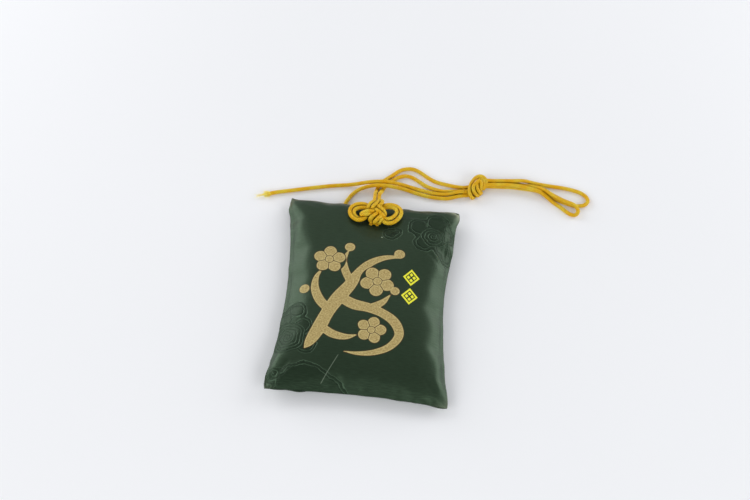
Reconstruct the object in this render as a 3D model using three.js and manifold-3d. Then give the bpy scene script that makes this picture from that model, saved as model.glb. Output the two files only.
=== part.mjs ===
// A charm pouch: a padded brocade bag on a braided cord, lying on its back.
// Millimetres. X runs to the right across the pouch, Y towards its mouth, Z out of its front face.
// The origin is the middle of the flat underside. The cord lies beyond the mouth on the same surface.

import * as THREE from 'three';
import { mergeVertices } from 'three/addons/utils/BufferGeometryUtils.js';
import Module from 'manifold-3d';

const wasm = await Module();
wasm.setup();

// Pouch: two brocade panels sewn together at the sides and the bottom
const pouchWidth = 70;
const pouchHeight = 90;
const pouchThickness = 10;
const seamHeight = 3.9;
const sideDrawnIn = 3.8;
const endDrawnIn = 1.5;
const cornerTwist = 1.25;
const panelThickness = 0.6;
const seamGap = 0.3;
const backCrown = 6;
const clearance = 0.3;
const waddingClearance = 0.4;

// Stuffing and pocket, from the back to the front
const backWaddingTop = 2.5;
const cardThickness = 0.4;
const cardWidth = 46;
const cardCornerCut = 5.6;
const cardAboveBottom = 9;
const cardBelowCord = 6;
const liningThickness = 0.2;
const pocketDepth = 2.5;
const pocketLipHeight = 0.5;

// Amulet: a thin wooden tablet in a folded paper wrapper
const amuletSideClearance = 0.57;
const amuletEndClearance = 0.06;
const amuletBelowCord = 5.2;
const tabletThickness = 1.1;
const tabletPeak = 4;
const tabletPeakHalfWidth = 12;
const paperThickness = 0.2;
const paperClearance = 0.2;
const tabletAboveWrapper = 6;

// Cord and sewing thread
const cordDiameter = 1.6;
const holeDiameter = 2.4;
const holeSpacing = 4;
const cordBelowMouth = 13;
const cordToRight = 0.6;
const cinchFront = 1;
const cinchBack = 4.4;
const cinchWidth = 5;
const cinchLength = 4.5;
const barHeight = 0.95;
const threadDiameter = 0.5;
const seamInset = 1.5;

// Front knot
const knotAboveCord = 6.6;
const knotMiddleUp = 2.7;
const bridgeEndUp = 0.6;
const knotCore = { width: 6.4, length: 6.8, thickness: 3.2 };

// Tie knot
const tieCore = { width: 5, length: 6.4, thickness: 3.2 };
const tieMiddle = { across: 43, beyond: 16.2, up: 2.6 };

// Frayed end of the long tail
const frayLength = 6;
const frayTipDiameter = 0.5;

// Fineness of the faceting
const cordSides = 8;
const knotSides = 6;
const holeSides = 16;
const coreSides = 10;
const coreBands = 8;
const earSteps = 12;
const bandSteps = 5;
const tieSteps = 17;
const tiePassSteps = 6;
const bridgeSteps = 14;
const threadSteps = 12;

// Shape shares
const crownPowerShare = 3;
const crownRootShare = 0.5;
const drawnPowerShare = 1.7;
const waddingShare = 0.84;
const waddingMouthShare = 0.56;
const liningShare = 0.95;
const liningPlateauShares = { across: 0.64, along: 0.76 };
const bendShares = [0.25, 0.5, 0.75];
const weldShare = 0.0006;
const threadEndShare = 0.93;

// Grids over the pouch's plan: cells each way, and how far their lines crowd towards the seam
const panelGrid = { across: 16, along: 20, crowdingShare: 0.8 };
const waddingGrid = { across: 10, along: 12, crowdingShare: 0.4 };
const liningGrid = { across: 12, along: 14, crowdingShare: 0.3 };
const threadCells = 8;

const mouthY = pouchHeight / 2;
const holesY = mouthY - cordBelowMouth;
const holeXs = [cordToRight - holeSpacing / 2, cordToRight + holeSpacing / 2];
const cordRadius = cordDiameter / 2;
const frontLift = seamGap / 2 + panelThickness;
const frontCrown = pouchThickness - seamHeight - frontLift;

// Where a grid point u, v (each from -1 to 1) lies in plan, with sides and ends drawn in between the corners
function plan(u, v) {
  const bowX = sideDrawnIn * (1 - Math.abs(v) ** drawnPowerShare);
  const bowY = endDrawnIn * (1 - Math.abs(u) ** drawnPowerShare);
  return [u * (pouchWidth / 2 - bowX), v * (pouchHeight / 2 - bowY)];
}

// Rise of the crown, 1 over the middle and 0 at the seam
function crown(u, v) {
  const rise = (t) => Math.max(0, 1 - Math.abs(t) ** crownPowerShare) ** crownRootShare;
  return rise(u) * rise(v);
}

// The seam's height, with opposite corners curled up and down
function seamZ(u, v) {
  return seamHeight + cornerTwist * (u * v) ** 3;
}

// How strongly the cord draws the two panels together round its holes, 1 at the holes
function cinch(u, v) {
  const [x, y] = plan(u, v);
  const across = (x - cordToRight) / cinchWidth;
  const along = (y - holesY) / cinchLength;
  return Math.exp(-(across * across + along * along) / 2);
}

function frontInnerZ(u, v) {
  return seamZ(u, v) + seamGap / 2 + frontCrown * crown(u, v) - cinchFront * cinch(u, v) * crown(u, v);
}

function backOuterZ(u, v) {
  const down = seamZ(u, v) - frontLift - backCrown * crown(u, v) + cinchBack * cinch(u, v);
  return Math.max(0, Math.min(down, seamZ(u, v) - frontLift));
}

// The pocket's floor and ceiling: flat over the amulet, closing towards the seam
function pocketShare(u, v) {
  const fall = (t, plateau) => Math.min(1, (1 - Math.abs(t)) / (1 - plateau));
  return fall(u, liningPlateauShares.across) * fall(v, liningPlateauShares.along);
}

const backLiningTopZ = (u, v) => seamZ(u, v) - liningThickness;
const frontLiningBottomZ = (u, v) =>
  backLiningTopZ(u, v) + pocketLipHeight + (pocketDepth - pocketLipHeight) * pocketShare(u, v);

// Grid lines from low to high, closer together towards the seam
function gridLines(cells, low, high, crowding) {
  return Array.from({ length: cells + 1 }, (_, i) => {
    const t = (2 * i) / cells - 1;
    const crowded = (1 - crowding) * t + crowding * Math.sin((Math.PI / 2) * t);
    return (low + high) / 2 + ((high - low) / 2) * crowded;
  });
}

// Adds lines through the cord holes' dent, in place of grid lines that lie too near them
function withDentLines(lines, middle, reach) {
  const extra = [middle - reach, middle - reach / 2, middle, middle + reach / 2, middle + reach];
  const kept = lines.filter((t, i) => {
    const isEdge = i === 0 || i === lines.length - 1;
    return isEdge || extra.every((e) => Math.abs(e - t) > reach / 3);
  });
  return [...kept, ...extra].sort((a, b) => a - b);
}

// A closed solid between two height functions over the pouch's plan
function gridSolid(us, vs, bottomZ, topZ) {
  const points = [];
  const faces = [];
  const columns = us.length;
  const layer = columns * vs.length;
  for (const height of [bottomZ, topZ]) {
    for (const v of vs) for (const u of us) points.push(...plan(u, v), height(u, v));
  }
  const quad = (a, b, c, d) => faces.push(a, b, c, a, c, d);
  for (let j = 0; j + 1 < vs.length; j++) {
    for (let i = 0; i + 1 < columns; i++) {
      const k = j * columns + i;
      quad(k, k + columns, k + columns + 1, k + 1);
      quad(layer + k, layer + k + 1, layer + k + columns + 1, layer + k + columns);
    }
  }
  const rim = [];
  for (let i = 0; i < columns; i++) rim.push(i);
  for (let j = 1; j < vs.length; j++) rim.push(j * columns + columns - 1);
  for (let i = columns - 2; i >= 0; i--) rim.push((vs.length - 1) * columns + i);
  for (let j = vs.length - 2; j > 0; j--) rim.push(j * columns);
  rim.forEach((a, i) => {
    const b = rim[(i + 1) % rim.length];
    quad(a, b, layer + b, layer + a);
  });
  const geometry = new THREE.BufferGeometry();
  geometry.setAttribute('position', new THREE.Float32BufferAttribute(points, 3));
  geometry.setIndex(faces);
  return geometry;
}

// A closed geometry as a solid that can be joined and cut
function toSolid(geometry) {
  const bare = geometry.clone();
  bare.deleteAttribute('normal');
  bare.deleteAttribute('uv');
  const merged = mergeVertices(bare, cordDiameter * weldShare);
  return new wasm.Manifold(new wasm.Mesh({
    numProp: 3,
    vertProperties: merged.attributes.position.array,
    triVerts: new Uint32Array(merged.index.array),
  }));
}

function toGeometry(solid) {
  const mesh = solid.getMesh();
  const geometry = new THREE.BufferGeometry();
  geometry.setAttribute('position', new THREE.BufferAttribute(mesh.vertProperties, 3));
  geometry.setIndex(new THREE.BufferAttribute(mesh.triVerts, 1));
  return geometry;
}

// The outer body of a solid, with any sealed hollow between its strands filled
function filled(solid) {
  return solid.decompose().reduce((a, b) => (a.volume() > b.volume() ? a : b));
}

// A round section with the given number of sides
function ring(radius, sides) {
  const corners = Array.from({ length: sides }, (_, i) => {
    const angle = (2 * Math.PI * (i + 0.5)) / sides;
    return new THREE.Vector2(radius * Math.cos(angle), radius * Math.sin(angle));
  });
  return new THREE.Shape(corners);
}

// A round tube along a smooth curve through the points
function tube(points, radius, sides, steps) {
  const path = new THREE.CatmullRomCurve3(points, false, 'centripetal');
  return new THREE.ExtrudeGeometry(ring(radius, sides), { steps, extrudePath: path });
}

// Cuts the two cord holes straight through a panel
function withCordHoles(geometry) {
  let solid = toSolid(geometry);
  const radius = holeDiameter / 2;
  for (const x of holeXs) {
    const drill = new THREE.CylinderGeometry(radius, radius, 2 * pouchThickness, holeSides);
    drill.rotateX(Math.PI / 2);
    drill.translate(x, holesY, pouchThickness / 2);
    solid = solid.subtract(toSolid(drill));
  }
  return toGeometry(solid);
}

function material(color, roughness) {
  return new THREE.MeshStandardMaterial({ color, roughness, metalness: 0 });
}

function piece(name, geometry, look) {
  const mesh = new THREE.Mesh(geometry, look);
  mesh.name = name;
  return mesh;
}

const brocade = () => material(0x27422f, 0.5);
const cordYellow = () => material(0xe0ae22, 0.7);

// Brocade panels
const panelUs = withDentLines(
  gridLines(panelGrid.across, -1, 1, panelGrid.crowdingShare),
  cordToRight / (pouchWidth / 2),
  cinchWidth / (pouchWidth / 2),
);
const panelVs = withDentLines(
  gridLines(panelGrid.along, -1, 1, panelGrid.crowdingShare),
  holesY / (pouchHeight / 2 - endDrawnIn),
  cinchLength / (pouchHeight / 2),
);

function frontPanel() {
  const outer = (u, v) => frontInnerZ(u, v) + panelThickness;
  return withCordHoles(gridSolid(panelUs, panelVs, frontInnerZ, outer));
}

function backPanel() {
  const inner = (u, v) => backOuterZ(u, v) + panelThickness;
  return withCordHoles(gridSolid(panelUs, panelVs, backOuterZ, inner));
}

// Wadding: a crowned pad behind the front panel and a dished one on the back panel
const waddingUs = gridLines(
  waddingGrid.across, -waddingShare, waddingShare, waddingGrid.crowdingShare,
);
const waddingVs = gridLines(
  waddingGrid.along, -waddingShare, waddingMouthShare, waddingGrid.crowdingShare,
);

function frontWadding() {
  const bottom = (u, v) => frontLiningBottomZ(u, v) + liningThickness + clearance;
  return gridSolid(waddingUs, waddingVs, bottom, (u, v) => frontInnerZ(u, v) - waddingClearance);
}

function backWadding() {
  const bottom = (u, v) => backOuterZ(u, v) + panelThickness + waddingClearance;
  return gridSolid(waddingUs, waddingVs, bottom, () => backWaddingTop);
}

// Linings: the two thin cloths of the pocket
const liningUs = gridLines(liningGrid.across, -liningShare, liningShare, liningGrid.crowdingShare);
const liningVs = gridLines(liningGrid.along, -liningShare, liningShare, liningGrid.crowdingShare);

function frontLining() {
  const top = (u, v) => frontLiningBottomZ(u, v) + liningThickness;
  return withCordHoles(gridSolid(liningUs, liningVs, frontLiningBottomZ, top));
}

function backLining() {
  const bottom = (u, v) => backLiningTopZ(u, v) - liningThickness;
  return withCordHoles(gridSolid(liningUs, liningVs, bottom, backLiningTopZ));
}

// Stiffener: a paper card with cut corners on the back wadding
function stiffenerCard() {
  const cut = cardCornerCut;
  const bottomY = cardAboveBottom - pouchHeight / 2;
  const topY = holesY - cordRadius - cardBelowCord;
  const [x, y] = [cardWidth / 2, (topY - bottomY) / 2];
  const outline = new THREE.Shape([
    [cut - x, -y], [x - cut, -y], [x, cut - y], [x, y - cut],
    [x - cut, y], [cut - x, y], [-x, y - cut], [-x, cut - y],
  ].map(([px, py]) => new THREE.Vector2(px, py)));
  const geometry = new THREE.ExtrudeGeometry(outline, { depth: cardThickness, bevelEnabled: false });
  return geometry.translate(0, (bottomY + topY) / 2, backWaddingTop + clearance);
}

// Amulet: it fills the flat part of the pocket, with its back on the back lining
const pocketHalfWidth = liningPlateauShares.across * (pouchWidth / 2 - sideDrawnIn);
const pocketHalfHeight = liningPlateauShares.along * (pouchHeight / 2 - endDrawnIn);
const wrapperInset = paperThickness + paperClearance;
const wrapperWidth = 2 * (pocketHalfWidth - amuletSideClearance);
const wrapperDepth = tabletThickness + 2 * wrapperInset;
const amuletBottomY = amuletEndClearance - pocketHalfHeight;
const amuletTopY = holesY - cordRadius - amuletBelowCord;
const wrapperLength = amuletTopY - tabletAboveWrapper - amuletBottomY;
const tabletWidth = wrapperWidth - 2 * wrapperInset;
const tabletLength = amuletTopY - amuletBottomY - wrapperInset;
const amuletZ = seamHeight - liningThickness + clearance;

function amuletTablet() {
  const x = tabletWidth / 2;
  const shoulder = tabletLength - tabletPeak;
  const outline = new THREE.Shape([
    [-x, 0], [x, 0], [x, shoulder], [tabletPeakHalfWidth, shoulder],
    [0, tabletLength], [-tabletPeakHalfWidth, shoulder], [-x, shoulder],
  ].map(([px, py]) => new THREE.Vector2(px, py)));
  const geometry = new THREE.ExtrudeGeometry(outline, { depth: tabletThickness, bevelEnabled: false });
  return geometry.translate(0, amuletBottomY + wrapperInset, amuletZ + wrapperInset);
}

function amuletWrapper() {
  const outer = new THREE.BoxGeometry(wrapperWidth, wrapperLength, wrapperDepth);
  outer.translate(0, amuletBottomY + wrapperLength / 2, amuletZ + wrapperDepth / 2);
  const hollow = new THREE.BoxGeometry(
    wrapperWidth - 2 * paperThickness,
    wrapperLength,
    wrapperDepth - 2 * paperThickness,
  );
  hollow.translate(0, amuletBottomY + wrapperLength / 2 + paperThickness, amuletZ + wrapperDepth / 2);
  return toGeometry(toSolid(outer).subtract(toSolid(hollow)));
}

// Seam thread: runs inside the seam, between the two panels
function seamThread(corners) {
  const points = corners.map(([u, v]) => new THREE.Vector3(...plan(u, v), seamZ(u, v)));
  return tube(points, threadDiameter / 2, knotSides, threadSteps);
}

const sideThreadShare = 1 - seamInset / (pouchWidth / 2);
const endThreadShare = 1 - seamInset / (pouchHeight / 2);
const threadStops = gridLines(threadCells, -threadEndShare, threadEndShare, 0);

// The cord's one passage through the pouch: down one hole, across the back, up the other hole
function cordBridge(topZ) {
  const bend = holeSpacing / 2;
  const stops = [topZ, (topZ + barHeight + bend) / 2, barHeight + bend];
  const down = stops.map((z) => new THREE.Vector3(holeXs[0], holesY, z));
  const round = bendShares.map((share) => new THREE.Vector3(
    cordToRight - bend * Math.cos(Math.PI * share),
    holesY,
    barHeight + bend - bend * Math.sin(Math.PI * share),
  ));
  const up = stops.map((z) => new THREE.Vector3(holeXs[1], holesY, z)).reverse();
  return tube([...down, ...round, ...up], cordRadius, cordSides, bridgeSteps);
}

// Front knot: two double ears, a basket of crossing bands and the cord's four ways in and out.
// Each strand's points are measured from the knot's middle: across, towards the mouth, outwards.
const earStrands = [
  // left ear, outer and inner strand
  [[-0.6, 2.2, -0.2], [-3.6, 2.9, 0], [-6.6, 3.2, 0], [-9.6, 2.3, 0], [-11.3, -0.7, 0], [-10, -3.8, 0],
    [-7.4, -4.9, 0], [-4.6, -4.2, 0], [-2.2, -2.6, -0.2]],
  [[-0.8, 0.9, -0.2], [-3.6, 1.3, 0], [-6.4, 1.6, 0], [-8.8, 0.9, 0], [-9.7, -0.9, 0], [-8.8, -2.6, 0],
    [-7, -3.2, 0], [-4.8, -2.7, 0], [-2.4, -1.4, -0.2]],
  // right ear, outer and inner strand
  [[1.2, 2.1, -0.2], [4, 2.6, 0], [7.1, 2.7, 0], [9.7, 1.2, 0], [10.4, -1.9, 0], [9.2, -5.1, 0],
    [6.6, -6.6, 0], [3.8, -5.5, 0], [1.8, -3.6, -0.2]],
  [[1.4, 0.6, -0.2], [4.2, 1.1, 0], [6.9, 1, 0], [8.4, -0.2, 0], [8.7, -2.2, 0], [7.8, -4, 0],
    [6.2, -4.9, 0], [4.2, -4.1, 0], [2, -2.2, -0.2]],
];
const bandStrands = [
  // upper left band
  [[-4.2, -0.4, -0.6], [-4.2, 1, 1], [-2.9, 2.9, 1.7], [-1.2, 4.4, 1.4], [0, 4.9, 0.2]],
  [[-3, -1, -0.4], [-3, 0.2, 1.2], [-1.6, 1.8, 1.6], [0.1, 3.4, 1.3], [1.2, 4.4, 0]],
  // upper right band
  [[2.6, 5.2, -0.4], [1.9, 4.2, 1], [2.1, 2.4, 1.6], [3.9, 0.6, 1.6], [4.9, -1.3, 0.6], [4.4, -2.6, -0.8]],
  [[-0.3, 2.1, 0], [0.5, 1.5, 1.1], [1.6, 0.4, 1.7], [3.1, -0.9, 1.5], [3.7, -2.3, 0.2]],
  // lower band
  [[2.6, -0.6, 0.2], [1.4, -1.8, 1.4], [-0.6, -3.3, 1.6], [-2.3, -4.7, 0.8], [-2.7, -5.3, -0.6]],
  [[3, -2.4, 0.2], [2.2, -3.4, 1.3], [0.7, -4.6, 1.3], [-0.6, -5.7, 0.4], [-1, -6.1, -0.8]],
  // left band
  [[0.6, -0.6, 0.4], [-1, -0.2, 1.4], [-3.2, -0.4, 1.5], [-5.2, -1, 1], [-6, -1.4, -0.4]],
  [[-0.2, -2.1, 0.2], [-1.8, -1.7, 1.3], [-3.6, -1.9, 1.3], [-5.2, -2.3, 0.6], [-5.8, -2.5, -0.4]],
  // cross on the back
  [[-3.6, -0.6, -0.9], [-1.8, -0.8, -1.4], [1.8, -0.8, -1.4], [3.6, -0.6, -0.9]],
  [[0.6, 3.8, -0.9], [0.7, 1.6, -1.4], [0.7, -2.6, -1.4], [0.6, -4.4, -0.9]],
  // ways out towards the mouth
  [[-1, 2.4, -0.6], [-1.1, 3.8, -0.3], [-0.9, 5.4, 0], [-0.9, 7, 0]],
  [[1.1, 2.4, -0.6], [1.3, 3.8, -0.3], [1.2, 5.4, 0], [1.2, 7, 0]],
];

// Ways down to the holes: the last point lies above the hole, at the height given
function knotLegs(drop) {
  return holeXs.map((x) => [
    [(x - cordToRight) / 2, -3.4, -0.6],
    [x - cordToRight, -knotAboveCord + cordDiameter, drop + cordDiameter],
    [x - cordToRight, -knotAboveCord, drop + cordRadius],
    [x - cordToRight, -knotAboveCord, drop],
  ]);
}

// The hidden middle of a knot, where its strands press on each other
function knotMiddleBody({ width, length, thickness }) {
  const core = new THREE.SphereGeometry(1 / 2, coreSides, coreBands);
  return core.scale(width, length, thickness);
}

function frontKnot(middle, drop) {
  let solid = toSolid(knotMiddleBody(knotCore));
  const add = (strand, steps) => {
    const points = strand.map((p) => new THREE.Vector3(...p));
    solid = solid.add(toSolid(tube(points, cordRadius, knotSides, steps)));
  };
  earStrands.forEach((strand) => add(strand, earSteps));
  bandStrands.forEach((strand) => add(strand, bandSteps));
  knotLegs(drop).forEach((strand) => add(strand, bandSteps));
  return toGeometry(filled(solid)).translate(...middle.toArray());
}

// Free stretches of the cord. A point is: across, beyond the mouth, height above the surface.
const routes = {
  riser_left: [
    [-0.3, 1, 10.1], [-0.3, 2.2, 9.8], [-0.2, 4.4, 7.5], [-0.1, 6.8, 4.5], [0, 9.1, 2.2],
    [0.3, 10.9, 0.95], [0.6, 12.3, 0.85], [1.1, 13.5, 0.85], [2.1, 15.3, 0.85], [3.6, 17, 0.85],
    [5.2, 18.5, 0.85], [6.9, 20.2, 0.85], [8.7, 22, 0.85], [10.3, 23.4, 0.85], [12.2, 24.3, 0.85],
    [14.3, 24.5, 0.85], [16.1, 23.9, 0.85], [18.3, 22.7, 0.85], [21, 20.9, 0.85], [24.6, 19.1, 0.85],
    [30, 17.6, 0.9], [34.5, 17.4, 1.2], [36.9, 17.4, 1.3],
  ],
  riser_right: [
    [1.8, 1, 10.1], [1.8, 2.3, 9.8], [2, 4.6, 7.4], [2.1, 7, 4.5], [2.4, 9.4, 2.2],
    [2.8, 11.2, 0.95], [3.2, 12.5, 0.85], [3.9, 13.8, 0.85], [5, 15.2, 0.85], [6.6, 16.9, 0.85],
    [8.2, 18.3, 0.85], [9.9, 19.3, 0.85], [12, 20, 0.85], [14.7, 19.6, 0.85], [17.6, 18.1, 0.85],
    [20.6, 16.3, 0.85], [23.9, 15.2, 0.85], [28.4, 15, 0.85], [33.4, 15.4, 1.2], [36.9, 15.5, 1.3],
  ],
  tail_long: [
    [36.9, 13.6, 1.3], [34.7, 13.5, 1.2], [31.2, 13, 0.9], [26.1, 12.8, 0.85], [21, 13.1, 0.85],
    [16.1, 13.8, 1], [11.5, 14.5, 1.5], [7.7, 14.6, 2.3], [4.2, 14.6, 2.85], [1.3, 14.5, 2.9],
    [-1.6, 14.1, 2.85], [-5, 13.8, 2.3], [-8.5, 13.3, 1.5], [-12.1, 12.6, 1],
    [-17.4, 11.3, 0.85], [-23.6, 9.8, 0.85],
    [-29.8, 8.1, 0.85], [-35.9, 6.4, 0.85], [-41.6, 4.8, 0.85], [-45, 3.5, 0.85],
  ],
  tail_short: [
    [36.9, 11.7, 1.3], [34.7, 11.4, 1.2], [30.4, 10.2, 0.9], [26.3, 9.8, 0.85], [21.6, 10.4, 0.85],
    [16.2, 11.5, 1], [11.7, 12.4, 1.5], [7.8, 12.4, 2.4], [4.8, 12.3, 2.95],
    [1.9, 12.2, 3], [-1.1, 11.8, 2.95],
    [-3.8, 11.2, 2.4], [-6.4, 10.3, 1.7], [-8.4, 9, 1.1], [-10, 7.2, 0.85], [-11.5, 4.3, 0.85],
    [-12.4, 1.7, 0.85], [-12.8, -0.3, 0.85],
  ],
  loop_large: [
    [49.2, 20.6, 2.75], [51.9, 20.9, 2.75], [57, 21.5, 2.75], [62.2, 22.5, 2.2], [66.6, 22.7, 1],
    [70.5, 22.3, 0.85], [74.8, 22, 0.85], [79.1, 21.7, 0.85], [83.4, 21, 0.85], [87, 19.8, 0.85],
    [89.5, 18.1, 0.85], [90.2, 15.9, 0.85], [89, 13.9, 0.85], [86.7, 13, 0.85], [84.2, 13.1, 0.85],
    [81.2, 14, 0.85], [77.8, 15.3, 0.85], [74, 17, 0.85], [70.6, 18.4, 0.85], [66.7, 19, 0.85],
    [62.4, 19.3, 0.85], [57.3, 19.5, 0.85], [52.2, 19.1, 0.85], [49.2, 18.9, 0.85],
  ],
  loop_small: [
    [49.2, 20.9, 0.85], [52.2, 21.2, 0.85], [57.3, 21.5, 0.85], [62.4, 21.2, 0.85], [66.7, 20.8, 1.25],
    [70.5, 19.8, 2.3], [73.9, 18, 2.75], [77.7, 15.7, 2.8], [80.5, 14.1, 2.8], [82.8, 12.6, 2.8],
    [84.9, 10.9, 2.2], [86, 9.2, 1.3], [85.4, 7.6, 0.9], [83.3, 7.2, 0.85], [80.8, 8.4, 0.85],
    [77.8, 10.6, 0.85],
    [74.4, 13, 0.85], [71.4, 15, 0.9], [68.4, 16.7, 1.2], [64.8, 18, 2], [61.3, 19, 2.6], [56.6, 19.2, 2.75],
    [52, 18.8, 2.75], [49.2, 18.6, 2.75],
  ],
};

// The strands of the tie knot, from the pouch's side to the loops' side: three that turn round it
const tieTurns = [
  [[37.3, 17.4, 1.3], [38.3, 17.4, 1.5], [40.5, 17.2, 2.4], [43.5, 16.2, 2.6], [46.2, 16.6, 2.9],
    [47.4, 18.4, 3.6], [46.9, 20.6, 3.9], [45.2, 22.2, 3.9], [43.2, 22.8, 3.9], [41, 21.4, 4],
    [39.3, 18.4, 4.3], [38.9, 15.3, 4.3], [39.3, 12.4, 3.6], [40.3, 10.9, 2.2], [41.8, 11.4, 0.95],
    [43.6, 13.6, 0.9], [45.4, 16.8, 0.95], [46.8, 19.4, 2], [47.9, 20.4, 2.7], [48.8, 20.6, 2.75]],
  [[37.3, 15.5, 1.3], [38.3, 15.5, 1.5], [40.5, 15.6, 2.4], [43.3, 15.2, 2.6], [45.3, 15.9, 2.7],
    [45.9, 17.6, 3.2], [45.4, 19.6, 3.8], [43.9, 20.7, 4.1], [42.2, 20, 4.3], [41, 17.8, 4.5],
    [40.8, 15.2, 4.5], [41.6, 12.8, 3.8], [42.8, 11.6, 2.3], [43.9, 12.4, 0.95], [45, 14.6, 0.9],
    [46.4, 17.6, 0.9], [47.8, 18.8, 0.85], [48.8, 18.9, 0.85]],
  [[37.3, 13.6, 1.3], [38.3, 13.6, 1.5], [40.5, 13.9, 2.3], [42.8, 13.8, 2.6], [44.5, 14.6, 2.9],
    [44.8, 16.4, 3.6], [44.2, 18, 4.5], [43.2, 18.8, 5], [42.6, 17.4, 5.1], [42.6, 15.4, 4.9],
    [43, 13.9, 3.9], [44.2, 13.2, 2.4], [45.4, 14.4, 1.6], [46.7, 18.4, 1.4], [47.8, 20.7, 0.9],
    [48.8, 20.9, 0.85]],
];

// The strand that passes under them
const tiePass = [
  [37.3, 11.7, 1.3], [38.3, 11.8, 1.4], [40, 12, 1.6], [42.3, 12.6, 1.8], [44.4, 14, 1.8],
  [46.5, 17, 2.5], [47.8, 18.5, 2.75], [48.8, 18.6, 2.75],
];

function onSurface([x, beyond, z]) {
  return new THREE.Vector3(x, mouthY + beyond, z);
}

const routeSteps = {
  riser_left: 15, riser_right: 14, tail_long: 16, tail_short: 14, loop_large: 22, loop_small: 22,
};

function freeStretch(name) {
  return tube(routes[name].map(onSurface), cordRadius, cordSides, routeSteps[name]);
}

function tieKnot() {
  const middle = onSurface([tieMiddle.across, tieMiddle.beyond, tieMiddle.up]);
  let solid = toSolid(knotMiddleBody(tieCore).translate(...middle.toArray()));
  const add = (strand, steps) => {
    solid = solid.add(toSolid(tube(strand.map(onSurface), cordRadius, knotSides, steps)));
  };
  tieTurns.forEach((strand) => add(strand, tieSteps));
  add(tiePass, tiePassSteps);
  return toGeometry(filled(solid));
}

// The tail's cut end: a short spray of loose yarn, tapering away from the cord
function frayedEnd() {
  const [end, before] = routes.tail_long.slice(-2).reverse().map(onSurface);
  const away = end.clone().sub(before).setZ(0).normalize();
  const spray = new THREE.CylinderGeometry(frayTipDiameter / 2, cordRadius, frayLength, cordSides);
  spray.applyQuaternion(new THREE.Quaternion().setFromUnitVectors(new THREE.Vector3(0, 1, 0), away));
  const middle = end.clone().addScaledVector(away, clearance + frayLength / 2);
  return spray.translate(...middle.toArray());
}

// Height of the front cloth's outer face at a distance y along the knot's line
function frontFaceZ(y) {
  return frontInnerZ(cordToRight / (pouchWidth / 2), y / (pouchHeight / 2 - endDrawnIn)) + panelThickness;
}

const knotMiddleY = holesY + knotAboveCord;
const knotMiddleZ = frontFaceZ(knotMiddleY) + knotMiddleUp;
const knotMiddle = new THREE.Vector3(cordToRight, knotMiddleY, knotMiddleZ);
const bridgeTopZ = frontFaceZ(holesY) + bridgeEndUp;

const group = new THREE.Group();
group.add(
  piece('front_panel', frontPanel(), brocade()),
  piece('back_panel', backPanel(), brocade()),
  piece('front_wadding', frontWadding(), material(0xf2efe6, 0.95)),
  piece('back_wadding', backWadding(), material(0xf2efe6, 0.95)),
  piece('front_lining', frontLining(), material(0x6b2a24, 0.7)),
  piece('back_lining', backLining(), material(0x6b2a24, 0.7)),
  piece('stiffener_card', stiffenerCard(), material(0xb9a683, 0.9)),
  piece('amulet_tablet', amuletTablet(), material(0xd9b98a, 0.7)),
  piece('amulet_wrapper', amuletWrapper(), material(0xf5f2ea, 0.85)),
  piece('seam_thread_left', seamThread(threadStops.map((v) => [-sideThreadShare, v])), brocade()),
  piece('seam_thread_right', seamThread(threadStops.map((v) => [sideThreadShare, v])), brocade()),
  piece('seam_thread_bottom', seamThread(threadStops.map((u) => [u, -endThreadShare])), brocade()),
  piece('cord_bridge', cordBridge(bridgeTopZ), cordYellow()),
  piece('front_knot', frontKnot(knotMiddle, bridgeTopZ + clearance - knotMiddleZ), cordYellow()),
  piece('tie_knot', tieKnot(), cordYellow()),
  piece('tail_fray', frayedEnd(), cordYellow()),
);
for (const name of Object.keys(routes)) {
  group.add(piece(name, freeStretch(name), cordYellow()));
}

export default group;
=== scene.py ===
"""A charm pouch of green brocade, closed and hung by one yellow braided cord.

Lengths are written in millimetres and turned into metres where a mesh is made. X runs across
the pouch, Y towards its mouth and Z out of its front face, from the middle of its underside.
"""

import math
from functools import partialmethod

import bpy
import numpy as np
from mathutils import Matrix, Vector


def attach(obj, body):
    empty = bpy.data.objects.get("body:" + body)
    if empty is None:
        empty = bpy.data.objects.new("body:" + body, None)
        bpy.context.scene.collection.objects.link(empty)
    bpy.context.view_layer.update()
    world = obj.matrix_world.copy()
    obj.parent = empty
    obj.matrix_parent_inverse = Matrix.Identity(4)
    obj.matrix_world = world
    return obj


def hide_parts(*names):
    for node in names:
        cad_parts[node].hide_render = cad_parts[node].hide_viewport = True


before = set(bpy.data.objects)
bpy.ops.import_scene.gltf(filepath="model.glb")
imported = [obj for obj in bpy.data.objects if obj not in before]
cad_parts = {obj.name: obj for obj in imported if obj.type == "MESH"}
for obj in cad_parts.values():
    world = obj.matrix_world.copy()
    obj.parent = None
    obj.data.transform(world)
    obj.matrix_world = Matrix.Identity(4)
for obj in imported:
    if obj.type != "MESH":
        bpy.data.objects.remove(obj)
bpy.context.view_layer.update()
MM = 0.001

# Camera: it stands at the foot of the pouch, looks down at it, and is turned a little.
CAMERA_TARGET = (2.012, 26.098, 0)
CAMERA_DISTANCE = 552.56
CAMERA_AZIMUTH = math.radians(0.132)
CAMERA_ELEVATION = math.radians(55.477)
CAMERA_ROLL = math.radians(5.476)


def linked(name, data):
    """A new object in the scene."""
    made = bpy.data.objects.new(name, data)
    bpy.context.scene.collection.objects.link(made)
    return made


camera = linked("camera", bpy.data.cameras.new("camera"))
camera.data.lens, camera.data.sensor_width, camera.data.clip_start = 64.8, 36, 0.01
camera.matrix_world = (
    Matrix.Translation(Vector(CAMERA_TARGET) * MM)
    @ Matrix.Rotation(CAMERA_AZIMUTH, 4, "Z")
    @ Matrix.Rotation(math.pi / 2 - CAMERA_ELEVATION, 4, "X")
    @ Matrix.Rotation(CAMERA_ROLL, 4, "Z")
    @ Matrix.Translation((0, 0, CAMERA_DISTANCE * MM))
)
bpy.context.scene.camera = camera

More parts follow.
